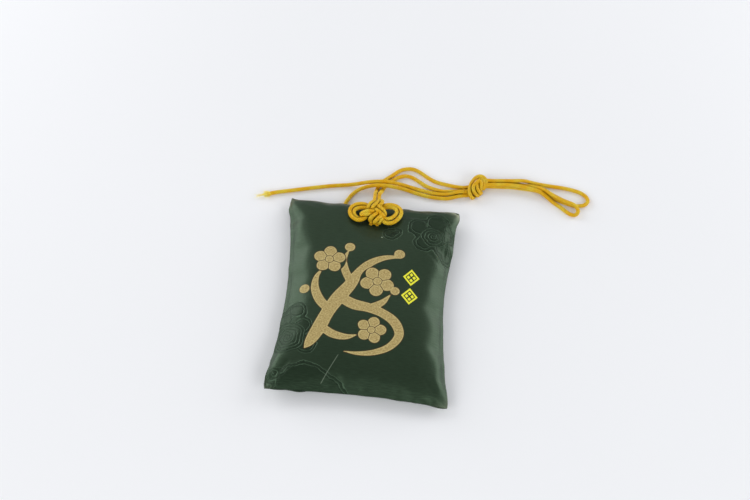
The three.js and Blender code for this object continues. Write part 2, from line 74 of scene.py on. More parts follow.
# Cord: one round braid of yellow rayon, 1.6 mm thick. It comes out of the front knot as two
# strands, all four of its strands are tied together once, and they end in two loops and two tails.
CORD_DIAMETER = 1.6
CORD_RADIUS = CORD_DIAMETER / 2
CORD_SIDES = 24
CORD_STEP = 0.15
CURVE_STEPS = 30
FEWEST_STOPS = 4
BRAID_STRANDS = 6
BRAID_PITCH = 0.74
BRAID_RELIEF = 0.17
BRAID_LEVEL = 0.7
BRAID_DIP = 0.4
FILAMENTS = 5
FILAMENT_RELIEF = 0.05
MOUTH_Y = 45
REST_HEIGHT = 0.85
ROUTES = {
    "riser_left": [
        (-0.1, 1, 10.1), (-0.1, 2.2, 9.8), (0, 4.4, 7.5), (0.1, 6.8, 4.5), (0.1, 9.1, 2.2),
        (0.3, 10.9, 0.95), (0.6, 12.3), (1.1, 13.5), (2.1, 15.3), (3.6, 17), (5.2, 18.5),
        (6.9, 20.2), (8.7, 22), (10.3, 23.1), (12.2, 23.8), (14.3, 24), (16.1, 23.6), (18.3, 22.4),
        (21, 20.5), (24.6, 18.5), (30, 17.3), (34.5, 16.7, 1), (36.9, 16.6, 1.1),
    ],
    "riser_right": [
        (1.6, 1, 10.1), (1.6, 2.3, 9.8), (1.8, 4.6, 7.4), (2, 7, 4.5), (2.3, 9.4, 2.2),
        (2.8, 11.2, 0.95), (3.2, 12.5), (3.9, 13.8), (5, 15.2), (6.6, 16.9), (8.2, 18.3),
        (9.9, 19.3), (12, 20), (14.7, 19.5), (17.6, 17.8), (20.6, 15.8), (23.9, 14.6),
        (28.4, 13.8), (33.4, 14.4), (36.9, 15),
    ],
    "tail_long": [
        (36.9, 13.6, 2.3), (34.7, 13.3, 2.1), (31.2, 12.4, 1.4), (26.1, 12.1, 0.9), (21, 12.8),
        (16.1, 13.7, 1), (11.5, 14.5, 1.5), (7.7, 14.6, 2.3), (4.2, 14.6, 2.85), (1.3, 14.3, 2.9),
        (-1.6, 13.8, 2.85), (-5, 13.3, 2.3), (-8.4, 12.8, 1.5), (-12.1, 12.2, 1), (-17.4, 11.3),
        (-23.6, 9.8), (-29.8, 8.1), (-35.9, 6.4), (-41.6, 4.8), (-45, 3.5),
    ],
    "tail_short": [
        (36.9, 12.4, 1.2), (34.7, 11.8, 1.2), (30.4, 10.3, 0.9), (26.3, 10), (21.6, 10.4),
        (16.2, 11.5, 1), (11.7, 12.4, 1.5), (7.8, 12.4, 2.4), (4.8, 12.3, 2.95), (1.9, 12.2, 3),
        (-1.1, 11.8, 2.95), (-3.8, 11.2, 2.4), (-6.4, 10.3, 1.7), (-8.4, 9, 1.1), (-10, 7.2),
        (-11.5, 4.3), (-12.4, 1.7), (-12.8, -0.3),
    ],
    "loop_large": [
        (49.2, 20.6, 2.75), (51.9, 20.9, 2.75), (57, 21.5, 2.75), (62.2, 22.5, 2.2),
        (66.6, 22.7, 1), (70.5, 22.3), (74.8, 22), (79.1, 21.7), (83.4, 21), (87, 19.8),
        (89, 18.1), (89.6, 15.9), (88.5, 14.1), (86.5, 13.2), (84.2, 12.9), (81.2, 13.5),
        (77.8, 14.7), (74, 16.4), (70.6, 18.2), (66.7, 19), (62.4, 19.3), (57.3, 19.5),
        (52.2, 19.1), (49.2, 18.9),
    ],
    "loop_small": [
        (49.2, 20.9), (52.2, 21.2), (57.3, 21.5), (62.4, 21.2), (66.7, 20.4, 1.6),
        (70.5, 18.8, 2.5), (73.9, 16.4, 2.75), (77.7, 14.3, 2.8), (80.5, 13.1, 2.8),
        (82.5, 12.4, 2.8), (83.9, 11.9, 2.4), (85.3, 9.9, 1.8), (84.9, 8.6, 1.2), (83.8, 8, 0.9),
        (82.2, 8.3), (80.5, 9.4), (77.8, 11.6), (74.4, 14.1), (71.4, 16.2, 1.7),
        (68.4, 17.6, 2.45), (64.8, 18.4, 2.6), (61.3, 19, 2.7), (56.6, 19.2, 2.75),
        (52, 18.8, 2.75), (49.2, 18.6, 2.75),
    ],
}


def placed(points, place, height=0):
    """Points moved by a place. A point of two numbers lies at the height."""
    return np.array([(*point, height)[:3] for point in points], float) + place


def beyond_mouth(points):
    """Cord points are across, beyond the mouth and up. Without up, they rest on the surface."""
    return placed(points, (0, MOUTH_Y, 0), REST_HEIGHT)


def run_along(line):
    """How far along a line each of its points is."""
    return np.append(0, np.cumsum(np.linalg.norm(np.diff(line, axis=0), axis=1)))


def evenly(line, step):
    """Points along a line, evenly spaced about a step apart."""
    run = run_along(line)
    stops = np.linspace(0, run[-1], max(FEWEST_STOPS, round(run[-1] / step) + 1))
    return np.column_stack([np.interp(stops, run, axis) for axis in line.T])


def smooth_path(points, step=CORD_STEP):
    """A smooth curve through the points, in cubics.

    Its slope at a point weighs the two chords there by the square roots of their lengths.
    """
    points = np.asarray(points, float)
    ends = np.vstack([2 * points[0] - points[1], points, 2 * points[-1] - points[-2]])
    chord = np.diff(ends, axis=0)
    gap = np.linalg.norm(chord, axis=1)[:, None] ** 0.5
    before, here, after = gap[:-2], gap[1:-1], gap[2:]
    two_back = (ends[2:-1] - ends[:-3]) / (before + here)
    two_on = (ends[3:] - ends[1:-2]) / (here + after)
    leave = here * (chord[:-2] / before - two_back + chord[1:-1] / here)
    arrive = here * (chord[1:-1] / here - two_on + chord[2:] / after)
    leave, arrive = leave[:, None], arrive[:, None]
    low, high = ends[1:-2, None], ends[2:-1, None]
    t = np.linspace(0, 1, CURVE_STEPS, endpoint=False)[None, :, None]
    square = (3 * (high - low) - 2 * leave - arrive) * t**2
    cube = (2 * (low - high) + leave + arrive) * t**3
    curve = (low + leave * t + square + cube).reshape(-1, 3)
    return evenly(np.vstack([curve, points[-1:]]), step)


def sideways(line):
    """Two unit directions at each point of a line, square to it and to each other.

    The first leans towards the direction that the line turns to least, so it never swings
    round: its tangents' smallest singular vector.
    """
    tangent = np.gradient(line, axis=0)
    tangent /= np.linalg.norm(tangent, axis=1)[:, None]
    steady = np.linalg.svd(tangent, full_matrices=False)[2][-1]
    side = steady - (tangent @ steady)[:, None] * tangent
    side /= np.linalg.norm(side, axis=1)[:, None]
    return side, np.cross(tangent, side)


def braid_surface(turn, run):
    """Height of a round braid's surface, and whether a left-hand strand is on top there.

    Strands of both hands wind round it. Each has a rounded back across its width, and a cosine
    takes it under every other strand that it meets.
    """
    left = BRAID_STRANDS * turn + run / BRAID_PITCH
    right = BRAID_STRANDS * turn - run / BRAID_PITCH

    def strand(across, along, hand):
        back = 1 - (2 * (across % 1) - 1) ** 2
        dip = np.cos(np.pi * (along - 0.5) + np.pi * np.floor(across))
        return (1 - BRAID_DIP) * back + BRAID_DIP * hand * dip

    left_height = strand(left, right, 1)
    right_height = strand(right, left, -1)
    return np.maximum(left_height, right_height), (left_height > right_height) * 1.0


def quad_grid(rows, columns, start=0, closed=False):
    """Quads over a grid of points numbered row by row. A closed one joins each row's ends."""
    i, j = np.meshgrid(np.arange(rows - 1), np.arange(columns - (not closed)), indexing="ij")
    near = start + i * columns
    far, beside = near + columns, (j + 1) % columns
    return np.stack([near + j, near + beside, far + beside, far + j], -1).reshape(-1, 4)


def tube_form(line, radius=CORD_RADIUS, sides=CORD_SIDES, relief=BRAID_RELIEF, taper=0):
    """A closed tube along a line, with its UVs and braid heights.

    Its points stand off the line by the radius, raised or lowered by the braid. The taper is
    the share of the radius that is lost on the way to the end.
    """
    run = run_along(line)
    turn = np.arange(sides) / sides
    height, hand = braid_surface(turn, run[:, None])
    thinning = (1 - taper * run / run[-1])[:, None]
    reach = radius * (1 + relief * (height - BRAID_LEVEL)) * thinning
    angle = 2 * np.pi * turn[:, None]
    side, other = sideways(line)
    spoke = np.cos(angle) * side[:, None] + np.sin(angle) * other[:, None]
    quads = quad_grid(len(line), sides, closed=True)
    turns = (quads[:, :1] % sides + [0, 1, 1, 0]) / sides
    last = (len(line) - 1) * sides
    return {
        "points": (line[:, None] + reach[..., None] * spoke).reshape(-1, 3),
        "quads": quads,
        "caps": [[*range(sides)][::-1], [*range(last, last + sides)]],
        "uv": np.stack([turns, run[quads // sides]], -1).reshape(-1, 2),
        "values": {"rise": height.ravel(), "hand": hand.ravel()},
    }


def joined(forms):
    """Several forms as one, with each one's points counted on from the last one's."""
    starts = np.cumsum([0] + [len(form["points"]) for form in forms[:-1]]).tolist()
    counted = list(zip(forms, starts))
    return {
        "points": np.vstack([form["points"] for form in forms]),
        "quads": np.vstack([form["quads"] + start for form, start in counted]),
        "caps": [[p + start for p in cap] for form, start in counted for cap in form["caps"]],
        "uv": np.vstack([form["uv"] for form in forms]),
        "values": {
            name: np.concatenate([form["values"][name] for form in forms])
            for name in forms[0]["values"]
        },
    }


def write_values(mesh, name, values):
    """Numbers at a mesh's points, for its material to read."""
    attribute = mesh.attributes.new(name, "FLOAT", "POINT")
    attribute.data.foreach_set("value", values.astype(np.float32))


def points_of(mesh):
    """A mesh's points, in metres."""
    points = np.empty(len(mesh.vertices) * 3)
    mesh.vertices.foreach_get("co", points)
    return points.reshape(-1, 3)


def make_piece(node, word, form, look):
    """A form as a mesh object, named node_word, that rides on the pouch in the node's place."""
    mesh = bpy.data.meshes.new(f"{node}_{word}")
    mesh.from_pydata((form["points"] * MM).tolist(), [], form["quads"].tolist() + form["caps"])
    layer = mesh.uv_layers.new(name="cloth")
    uv = np.zeros((len(mesh.loops), 2))
    uv[:len(form["uv"])] = form["uv"]
    layer.data.foreach_set("uv", uv.ravel())
    for key, values in form["values"].items():
        write_values(mesh, key, values)
    mesh.polygons.foreach_set("use_smooth", np.ones(len(mesh.polygons), bool))
    mesh.materials.append(look)
    mesh.update()
    piece = linked(mesh.name, mesh)
    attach(piece, "pouch")
    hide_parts(node)
    return piece


class Value:
    """Something that changes over a surface: a node's output, with sums as Python's."""

    def __init__(self, look, socket):
        self.look, self.socket = look, socket

    def math(self, operation, *others):
        values = dict(enumerate((self, *others)))
        return self.look.node("ShaderNodeMath", values, operation=operation)

    __add__ = __radd__ = partialmethod(math, "ADD")
    __mul__ = __rmul__ = partialmethod(math, "MULTIPLY")
    __sub__ = partialmethod(math, "SUBTRACT")
    __truediv__ = partialmethod(math, "DIVIDE")
    __abs__ = partialmethod(math, "ABSOLUTE")
    least = partialmethod(math, "MINIMUM")
    most = partialmethod(math, "MAXIMUM")
    sine = partialmethod(math, "SINE")
    root = partialmethod(math, "SQRT")
    angle = partialmethod(math, "ARCTAN2")

    def __rsub__(self, other):
        return self * -1 + other

    def hypot(self, other):
        """The root of this value's square and another's."""
        return (self * self + other * other).root()

    def smooth(self, low, high):
        """0 below low, 1 above high and an easy slope between them."""
        values = {"Value": self, "From Min": low, "From Max": high}
        return self.look.node("ShaderNodeMapRange", values, interpolation_type="SMOOTHSTEP")

    def nearest(self, spacing):
        """How far the value is from the nearest whole multiple of the spacing."""
        return self.math("PINGPONG", spacing / 2)

    def lines(self, spacing, width, reach):
        """1 within the width of each whole multiple of the spacing, and 0 beyond the reach."""
        return 1 - self.nearest(spacing).smooth(width, reach)

    def wave(self, length):
        """A sine of the value that comes round once in each length."""
        return (self * (2 * math.pi / length)).sine()


def tint(red, green, blue):
    """A colour written as it shows, from 0 to 255, in the linear numbers of a shader."""
    channels = [c / 255 for c in (red, green, blue)]
    return (*[c / 12.92 if c < 0.04045 else ((c + 0.055) / 1.055) ** 2.4 for c in channels], 1)


class Look:
    """A material, put together node by node."""

    def __init__(self, name):
        self.material = bpy.data.materials.new(name)
        self.material.use_nodes = True
        self.material.node_tree.nodes.clear()

    def node(self, kind, values, output=0, **settings):
        """A node: first its settings, then its sockets' values or links."""
        tree = self.material.node_tree
        made = tree.nodes.new(kind)
        for key, setting in settings.items():
            setattr(made, key, setting)
        for key, value in values.items():
            if isinstance(value, Value):
                tree.links.new(value.socket, made.inputs[key])
            else:
                made.inputs[key].default_value = value
        return Value(self, made.outputs[output]) if len(made.outputs) else made

    def paint(self, colour, *layers):
        """A colour with others laid over it, each where its share says."""
        for share, over in layers:
            low, high = [c if isinstance(c, Value) else tint(*c) for c in (colour, over)]
            sockets = {0: share, 6: low, 7: high}
            colour = self.node("ShaderNodeMix", sockets, 2, data_type="RGBA")
        return colour

    def attribute(self, name):
        return self.node("ShaderNodeAttribute", {}, 2, attribute_name=name)

    def noise(self, place, scale, detail=2):
        values = {"Vector": place, "Scale": scale, "Detail": detail}
        return self.node("ShaderNodeTexNoise", values)

    def place(self, *parts):
        """A vector from two or three values."""
        return self.node("ShaderNodeCombineXYZ", dict(enumerate(parts)))

    def parts(self, place, count):
        """The first values of a vector."""
        return [self.node("ShaderNodeSeparateXYZ", {0: place}, axis) for axis in range(count)]

    def flat(self):
        """The piece's UV map as two values."""
        return self.parts(self.node("ShaderNodeUVMap", {}, uv_map="cloth"), 2)

    def solid(self):
        """The place inside the piece, in metres."""
        return self.node("ShaderNodeTexCoord", {}, 3)

    def finish(self, height=None, second=None, **values):
        """Closes the material: the height in millimetres becomes a bump.

        The second weave, where there is one, is its share of the surface and its own values.
        """
        def shader(named):
            sockets = {
                key.replace("_", " ").title().replace("Ior", "IOR"): value
                for key, value in named.items()
            }
            return self.node("ShaderNodeBsdfPrincipled", sockets)

        if height is not None:
            bump = {"Strength": 1, "Distance": MM, "Height": height}
            values["normal"] = self.node("ShaderNodeBump", bump)
        surface = shader(values)
        if second is not None:
            share, own = second
            sockets = {0: share, 1: surface, 2: shader({**values, **own})}
            surface = self.node("ShaderNodeMixShader", sockets)
        self.node("ShaderNodeOutputMaterial", {"Surface": surface})
        return self.material


def cord_look():
    """Yellow rayon: bright backs, painted shade in brown-gold where the strands cross and dark
    brown in the crevices, and fine filaments along each strand.
    """
    look = Look("braided_yellow_cord")
    turn, run = look.flat()
    rise, hand = look.attribute("rise"), look.attribute("hand")
    left = (turn * BRAID_STRANDS + run / BRAID_PITCH) * FILAMENTS
    right = (turn * BRAID_STRANDS - run / BRAID_PITCH) * FILAMENTS
    filament = left.nearest(1) * hand + right.nearest(1) * (1 - hand)
    wear = look.noise(look.solid(), 260).smooth(0.35, 0.7)
    bright = look.paint((255, 204, 14), (wear, (255, 238, 72)))
    strand = look.paint((226, 158, 4), (filament.smooth(0, 0.35), bright))
    # Painted shade: brown where the braid dips under at its crossings, and dark brown in the
    # crevices between strands.
    crevice_shade = look.attribute("crevice_shade") * 0.95
    colour = look.paint((122, 62, 2), (rise.smooth(0.2, 0.85), strand), (crevice_shade, (66, 30, 0)))
    return look.finish(
        filament * FILAMENT_RELIEF,
        base_color=colour,
        roughness=0.58 - rise * 0.16,
        specular_ior_level=0.4,
        specular_tint=(1, 0.85, 0.5, 1),
    )


cord_yellow = cord_look()
cord_lines = {}
for cord_name, route in ROUTES.items():
    path = smooth_path(beyond_mouth(route))
    cord_lines[cord_name + "_braid"] = [path]
    make_piece(cord_name, "braid", tube_form(path), cord_yellow)

# Tie knot: the four strands are laid together and tied in one overhand knot. They go through its
# middle, and its turns lie over them, each nested in the one before and bent down in front.
TIE_STRANDS = [
    [(36.9, 16.6, 1.1), (39, 16.9, 1.6), (42, 17.9, 2.2), (45.5, 20, 2.9), (49.2, 20.6, 2.75)],
    [(36.9, 15), (39, 15.3, 1), (42, 16.6, 1), (45.5, 18.4, 0.9), (49.2, 18.9)],
    [(36.9, 13.6, 2.3), (39, 13.9, 2), (41.5, 15.4, 1.6), (45.5, 19.9, 1.1), (49.2, 20.9)],
    [(36.9, 12.4, 1.2), (39, 13, 1.2), (42, 14.9, 1.9), (45.5, 17.7, 2.6), (49.2, 18.6, 2.75)],
    [
        (41.4, 12.5, 0.9), (40.6, 11.3, 1.6), (39.8, 11.5, 2.6), (39.2, 13, 3.2),
        (39.2, 15.1, 3.6), (39.8, 17.4, 3.8), (40.8, 19.5, 3.8), (42.1, 21.1, 3.7),
        (43.5, 21.7, 3.6), (44.9, 21.4, 3.3), (45.9, 20.2, 3), (46.1, 18.8, 2.6), (45.6, 17.4, 2),
        (44.8, 16.5, 1.3),
    ],
    [
        (42.6, 20.5, 2.4), (43, 20.7, 2.8), (43.6, 20.8, 3.1), (44.6, 20, 3.2), (45.1, 18.5, 3),
        (44.9, 17, 2.6), (44.2, 16.2, 1.8), (43.9, 16, 1.1),
    ],
    [
        (43.5, 14, 0.9), (42.7, 12.7, 1.8), (41.6, 12.9, 3), (40.7, 13.9, 4), (40.7, 15.5, 4.6),
        (41.8, 17, 4.9), (42.8, 18.3, 4.9), (43.5, 18, 4.8), (43.8, 16.8, 4.4), (43.7, 15.5, 3.6),
        (43.4, 14.8, 2.4),
    ],
    [
        (44.3, 15, 1), (43.8, 13.7, 2), (42.9, 13.9, 3.4), (42.2, 14.9, 4.2), (42.1, 16.3, 4.3),
        (42.4, 17.6, 3.8), (42.9, 18.3, 3.2),
    ],
]


def knotted(node, strands):
    """A cord piece of several stretches, with its centre lines kept."""
    lines = [smooth_path(strand) for strand in strands]
    cord_lines[node + "_braid"] = lines
    make_piece(node, "braid", joined([tube_form(line) for line in lines]), cord_yellow)


knotted("tie_knot", [beyond_mouth(strand) for strand in TIE_STRANDS])

# Frayed end: the long tail is cut off bare. Its yarns have come loose in a small tuft, and a few
# of the longest hang together in a thin wisp.
FIBRE_RADIUS = 0.07
FIBRE_STEPS = 9
FIBRE_CURL = 0.25
FIBRE_SECTION = 0.85 * CORD_RADIUS


def loose_fibres(seed, count, start, lengths, flare):
    """Fibres that leave the cut end and bend off the cord's middle line.

    The way off that line grows with the square of the run, down to the surface at most.
    """
    rng = np.random.default_rng(seed)
    end, before = beyond_mouth(ROUTES["tail_long"])[[-1, -2]]
    away = (end - before) / np.linalg.norm(end - before)
    aside = np.cross([0, 0, 1], away)
    run = np.linspace(0, 1, FIBRE_STEPS)
    forms = []
    for _ in range(count):
        angle = rng.uniform(0, 2 * np.pi)
        off = FIBRE_SECTION * np.sqrt(rng.uniform())
        spread = off + flare * rng.uniform(0.3, 1.6) * run**2
        length = rng.uniform(*lengths)
        curl = rng.normal(0, FIBRE_CURL, 2)
        line = (
            end - away * start + np.outer(run * length, away)
            + np.outer(spread * np.cos(angle) + curl[0] * run**2, aside)
            + np.outer(spread * np.sin(angle) + curl[1] * run**2, (0, 0, 1))
        )
        line[:, 2] = np.maximum(line[:, 2], FIBRE_RADIUS * 1.5)
        forms.append(tube_form(line, FIBRE_RADIUS, sides=5, relief=0, taper=0.5))
    return forms


def fibre_look():
    """Single yellow rayon fibres, paler than the braid, because light goes through them."""
    look = Look("loose_yellow_fibre")
    shade = look.noise(look.solid(), 700).smooth(0.3, 0.7)
    colour = look.paint((255, 224, 50), (shade, (255, 248, 140)))
    return look.finish(base_color=colour, roughness=0.5, specular_ior_level=0.4)


tuft = loose_fibres(seed=7, count=110, start=2.6, lengths=(1.8, 4.4), flare=0.75)
wisp = loose_fibres(seed=8, count=12, start=0.4, lengths=(4, 6.4), flare=-0.25)
make_piece("tail_fray", "fibres", joined(tuft + wisp), fibre_look())

# Front knot: the cord is tied into two double ears, with four double bands that cross in the
# middle. Its two ends leave towards the mouth, and its two legs go down through the cloth.
KNOT_MIDDLE = (0.6, 38.6, 10.1)
HOLES_Y = 33.3
HOLE_SPACING = 2.5
BRIDGE_TOP = 8.6
BRIDGE_STOPS = 13
LEG_STOPS = 4
BAR_HEIGHT = 0.95
TOUCH_RANGE = (0.85, 1.5)
KNOT_STRANDS = [
    [
        (-2.1, 1.1, -0.5), (-3.5, 2.4, -0.1), (-4.9, 2.8), (-6.5, 2.7), (-8.3, 2.1), (-9.8, 0.6),
        (-10.3, -1.6), (-9.6, -3.6), (-8.1, -5), (-6.4, -5.5), (-4.9, -5), (-3.6, -3.7, -0.2),
        (-2.3, -1.9, -0.9),
    ],
    [
        (-2.4, 1, -0.7), (-3.7, 1.1, -0.2), (-5.4, 1, -0.1), (-7.1, 0.5, -0.1), (-8.3, -0.4, -0.1),
        (-8.7, -1.8, -0.1), (-8.3, -2.9, -0.3), (-7.3, -3.7, -0.7), (-6, -4.1, -0.9),
        (-4.6, -3.6, -0.9), (-3.4, -1.9, -1.1),
    ],
    [
        (2.5, 3, -0.7), (3.9, 3.3, -0.1), (5.4, 3.6), (7, 3.6), (8.8, 3), (10.1, 1.8), (10.6, 0.3),
        (10.4, -1.4), (9.4, -3.3), (7.9, -4.9), (6.4, -5.6), (4.9, -5.6), (3.4, -4.6, -0.3),
        (2.2, -3.1, -0.9),
    ],
    [
        (2.8, 1.9, -1), (4.4, 2.7, -0.8), (6.3, 2.8, -0.6), (7.7, 2.3, -0.3), (8.7, 1.2, -0.1),
        (8.8, -0.1), (8.2, -1.5), (7, -2.8), (5.5, -3.6), (4.2, -3.5, -0.2), (3.1, -2.6, -0.7),
        (1.9, -0.9, -1.1),
    ],
    [
        (-2.6, 0.5, -0.5), (-2.9, 0.9, 0.7), (-2.5, 1.9, 1.4), (-1.6, 3.1, 1.4), (-0.7, 4.4, 0.5),
        (-0.2, 5.2, -0.6),
    ],
    [
        (-1.2, 0, 0.1), (-1.3, 0.4, 1.1), (-0.9, 1.2, 1.6), (0, 2.5, 1.4), (0.7, 4.1, 0.6),
        (1, 5, -0.6),
    ],
    [(1.6, 5.6, -0.7), (2.4, 4.9, 0.2), (2.4, 3.5, 0.9), (1.6, 2.2, 1), (0.8, 1, 0.2)],
    [
        (0.1, 2.6), (1, 1.4, 1.1), (2.2, 0.2, 1.7), (3.4, -0.8, 1.5), (4, -1.5, 0.5),
        (3.9, -1.8, -0.8),
    ],
    [
        (-0.7, 0.9), (0.3, -0.2, 1.1), (1.5, -1.3, 1.6), (2.7, -2.3, 1.3), (3.6, -2.7, 0.3),
        (3.7, -2.5, -0.9),
    ],
    [
        (1.3, -0.5), (0.8, -2, 1.1), (-0.3, -3.4, 1.5), (-1.3, -4.3, 1.1), (-1.8, -4.6, 0.1),
        (-1.7, -4.4, -1),
    ],
    [
        (2.9, -1.7, -0.1), (2.4, -3.2, 1.1), (1.6, -4.5, 1.4), (0.8, -5.3, 0.9), (0.2, -5.6),
        (0.1, -5.4, -1.1),
    ],
    [(3.2, -3, -0.4), (2.7, -4.4, 0.5), (2.3, -5.2, 0.2), (2, -5.4, -1)],
    [
        (0.1, -0.9, 0.2), (-1.2, -1.3, 1.2), (-2.7, -1.6, 1.5), (-4.1, -1.9, 1.2),
        (-5.2, -2.2, 0.5), (-5.6, -2.1, -0.5),
    ],
    [
        (-0.9, -2.1), (-2, -2.7, 1), (-3.3, -3, 1.1), (-4.5, -3.1, 0.7), (-5.3, -2.9),
        (-5.4, -2.4, -0.8),
    ],
    [(-3, -0.6, -0.9), (-1.8, -0.8, -1.4), (1.8, -0.8, -1.4), (3, -0.6, -0.9)],
    [(0.6, 3.4, -0.9), (0.7, 1.6, -1.4), (0.7, -2.6, -1.4), (0.6, -4, -0.9)],
    [(-1, 2.4, -0.6), (-1, 3.8, -0.3), (-0.75, 5.4), (-0.7, 7.4)],
    [(1.1, 2.4, -0.6), (1.2, 3.8, -0.3), (1, 5.4), (1, 7.4)],
    [(-0.7, -3, -0.8), (-0.9, -4, -0.5), (-1.1, -4.7, -0.9), (-1.2, -5, -1.8)],
    [(0.8, -3, -0.8), (1.1, -4, -0.5), (1.2, -4.7, -0.9), (1.2, -5, -1.8)],
]


def bridge_path():
    """Down one hole, across the back as half a circle, and up the other hole."""
    bend = HOLE_SPACING / 2
    angle = np.linspace(0, np.pi, BRIDGE_STOPS)[1:-1]
    leg = np.linspace(BRIDGE_TOP, BAR_HEIGHT + bend, LEG_STOPS)
    across = np.concatenate([[-1] * LEG_STOPS, -np.cos(angle), [1] * LEG_STOPS])
    height = np.concatenate([leg, BAR_HEIGHT + bend - bend * np.sin(angle), leg[::-1]])
    return np.column_stack([
        KNOT_MIDDLE[0] + bend * across, np.full(len(across), HOLES_Y), height
    ])


def shade_crevices():
    """Writes painted shade for the cord: how deep each point lies in a crevice between two
    strands.

    It is 1 where another strand touches, and fades with the distance to that strand's middle
    line and with the angle between the way there and the way out of the cord.
    """
    touching, clear = TOUCH_RANGE
    for name, lines in cord_lines.items():
        mesh = bpy.data.objects[name].data
        points = points_of(mesh) / MM
        crevice_shade = []
        for line in lines:
            here, points = np.split(points, [len(line) * CORD_SIDES])
            others = np.vstack([
                other[::2] for group in cord_lines.values() for other in group
                if other is not line
            ])
            square = (here**2).sum(1)[:, None] + (others**2).sum(1) - 2 * here @ others.T
            way = others[square.argmin(1)] - here
            gap = np.linalg.norm(way, axis=1)
            out = here - np.repeat(line, CORD_SIDES, axis=0)
            facing = (out * way).sum(1) / gap / np.linalg.norm(out, axis=1)
            near = np.clip((clear - gap) / (clear - touching), 0, 1)
            crevice_shade.append(near * np.clip(facing * 1.4, 0, 1))
        write_values(mesh, "crevice_shade", np.concatenate(crevice_shade))


knotted("front_knot", [placed(strand, KNOT_MIDDLE) for strand in KNOT_STRANDS])
make_piece("cord_bridge", "braid", tube_form(smooth_path(bridge_path())), cord_yellow)
shade_crevices()

# Brocade panels: two pieces of figured green satin, padded behind and sewn together at the sides
# and the bottom. They bulge in the middle, roll over at the seam and pucker along it.
POUCH_WIDTH = 70
POUCH_HEIGHT = 90
POUCH_THICKNESS = 10
SEAM_HEIGHT = 3.9
SIDE_DRAWN_IN = 3.8
BOTTOM_DRAWN_IN = 1.4
MOUTH_DRAWN_IN = 0.5
DRAWN_POWER = 1.7
CORNER_ROUND = 0.55
ROUND_POWERS = (45, 35)
CORNER_TWIST = 1.25
CORNER_PULLS = {
    (-1, 1): (0.5, 1.6), (1, 1): (0, -0.3), (-1, -1): (0.4, -0.7), (1, -1): (0.3, -0.3)
}
PULL_POWER = 22
# Which side a bulge is on, its place, its width and how far it goes out.
SIDE_BULGES = [
    (-1, 0.88, 0.075, 0.5), (-1, -0.55, 0.2, -0.2), (1, 0.55, 0.25, 0.9), (1, 0.93, 0.08, 0.5)
]
CLOTH_THICKNESS = 0.6
FRONT_RISE = POUCH_THICKNESS - SEAM_HEIGHT
BACK_DROP = 6.7
CINCH_REACH = (5, 4.5)
CINCH_FRONT = 1
CINCH_BACK = 4.4
ROLL_OVERHANG = 0.4
ROLL_REACH = 0.004
WAVE_LENGTH = 13
PUCKER_LENGTH = 6.5
PUCKER_DEPTH = 0.07
PUCKER_REACH = 3.2
CORNER_REACH = 6
KNOT_REACH = 7
EDGE_GAP = 0.02
EVEN_SHARE = 0.04
# Each fold's two ends, its height and its width.
FRONT_CREASES = [
    (11, 38.6, 33.5, 38, -0.35, 0.9), (13, 41, 33.6, 40.6, 0.3, 0.8),
    (33.9, 41, 27, 33, -0.4, 0.8), (31.4, 37, 30.4, 16.5, -0.4, 0.7),
    (32.8, 36.5, 31.4, 19, 0.35, 0.6), (21.5, 23, 30.5, 14.4, -0.18, 0.8),
    (-26, -33, -33.4, -43.6, -0.45, 1), (-20.5, -32.5, -31, -42.4, 0.3, 1.1),
    (-22, -42.2, -8, -44.6, -0.3, 0.9), (29, -34, 34.2, -45.5, 0.45, 1.1),
    (26, -37, 33.2, -45, -0.4, 1), (-34, 41, -28.5, 33, -0.35, 1.2),
    (-31.5, 42, -22, 38.4, 0.25, 1), (-8.5, -37.5, -2.4, -45, -0.25, 0.8),
    (27, 43, 14, 36, 0.2, 1),
]


def crowded(count):
    """Stops from -1 to 1 that crowd towards both ends as a sine does."""
    t = np.linspace(-1, 1, count)
    return EVEN_SHARE * t + (1 - EVEN_SHARE) * np.sin(np.pi / 2 * t)


def cloth_plan(u, v):
    """Place across and along for u and v from -1 to 1.

    Edges are drawn in between the corners. High powers round each corner and pull its tip out.
    """
    def drawn(t, size, power):
        return size * (1 - np.abs(t) ** DRAWN_POWER) + CORNER_ROUND * np.abs(t) ** power

    side = drawn(v, SIDE_DRAWN_IN, ROUND_POWERS[0])
    end = drawn(u, np.where(v > 0, MOUTH_DRAWN_IN, BOTTOM_DRAWN_IN), ROUND_POWERS[1])
    x, y = u * (POUCH_WIDTH / 2 - side), v * (POUCH_HEIGHT / 2 - end)
    for (across, along), (pull_x, pull_y) in CORNER_PULLS.items():
        share = (np.maximum(0, across * u) * np.maximum(0, along * v)) ** PULL_POWER
        x, y = x + pull_x * share, y + pull_y * share
    for across, place, width, size in SIDE_BULGES:
        bell = np.exp(-((v - place) / width) ** 2)
        x = x + across * size * np.maximum(0, across * u) ** 6 * bell
    return x, y


def rise(t):
    """0 at the seam and 1 in the middle, and it leaves the seam at a right angle."""
    return np.sqrt(np.maximum(0, 1 - np.abs(t) ** 3))


def seam_height(u, v):
    """The seam's height, with opposite corners curled up and down."""
    return SEAM_HEIGHT + CORNER_TWIST * (u * v) ** 3


def cinch(x, y):
    """How strongly the cord draws the cloth in, 1 at the holes and fading like a bell."""
    across = (x - KNOT_MIDDLE[0]) / CINCH_REACH[0]
    along = (y - HOLES_Y) / CINCH_REACH[1]
    return np.exp(-(across**2 + along**2) / 2)


def ripple(s, length, seed):
    """An uneven wave along s: three sines whose lengths have no common measure."""
    a, b, c = np.random.default_rng(seed).uniform(0, 2 * np.pi, 3)
    k = 2 * np.pi / length
    second, third = 0.7 * np.sin(0.61 * k * s + b), 0.5 * np.sin(1.47 * k * s + c)
    return (np.sin(k * s + a) + second + third) / 1.6


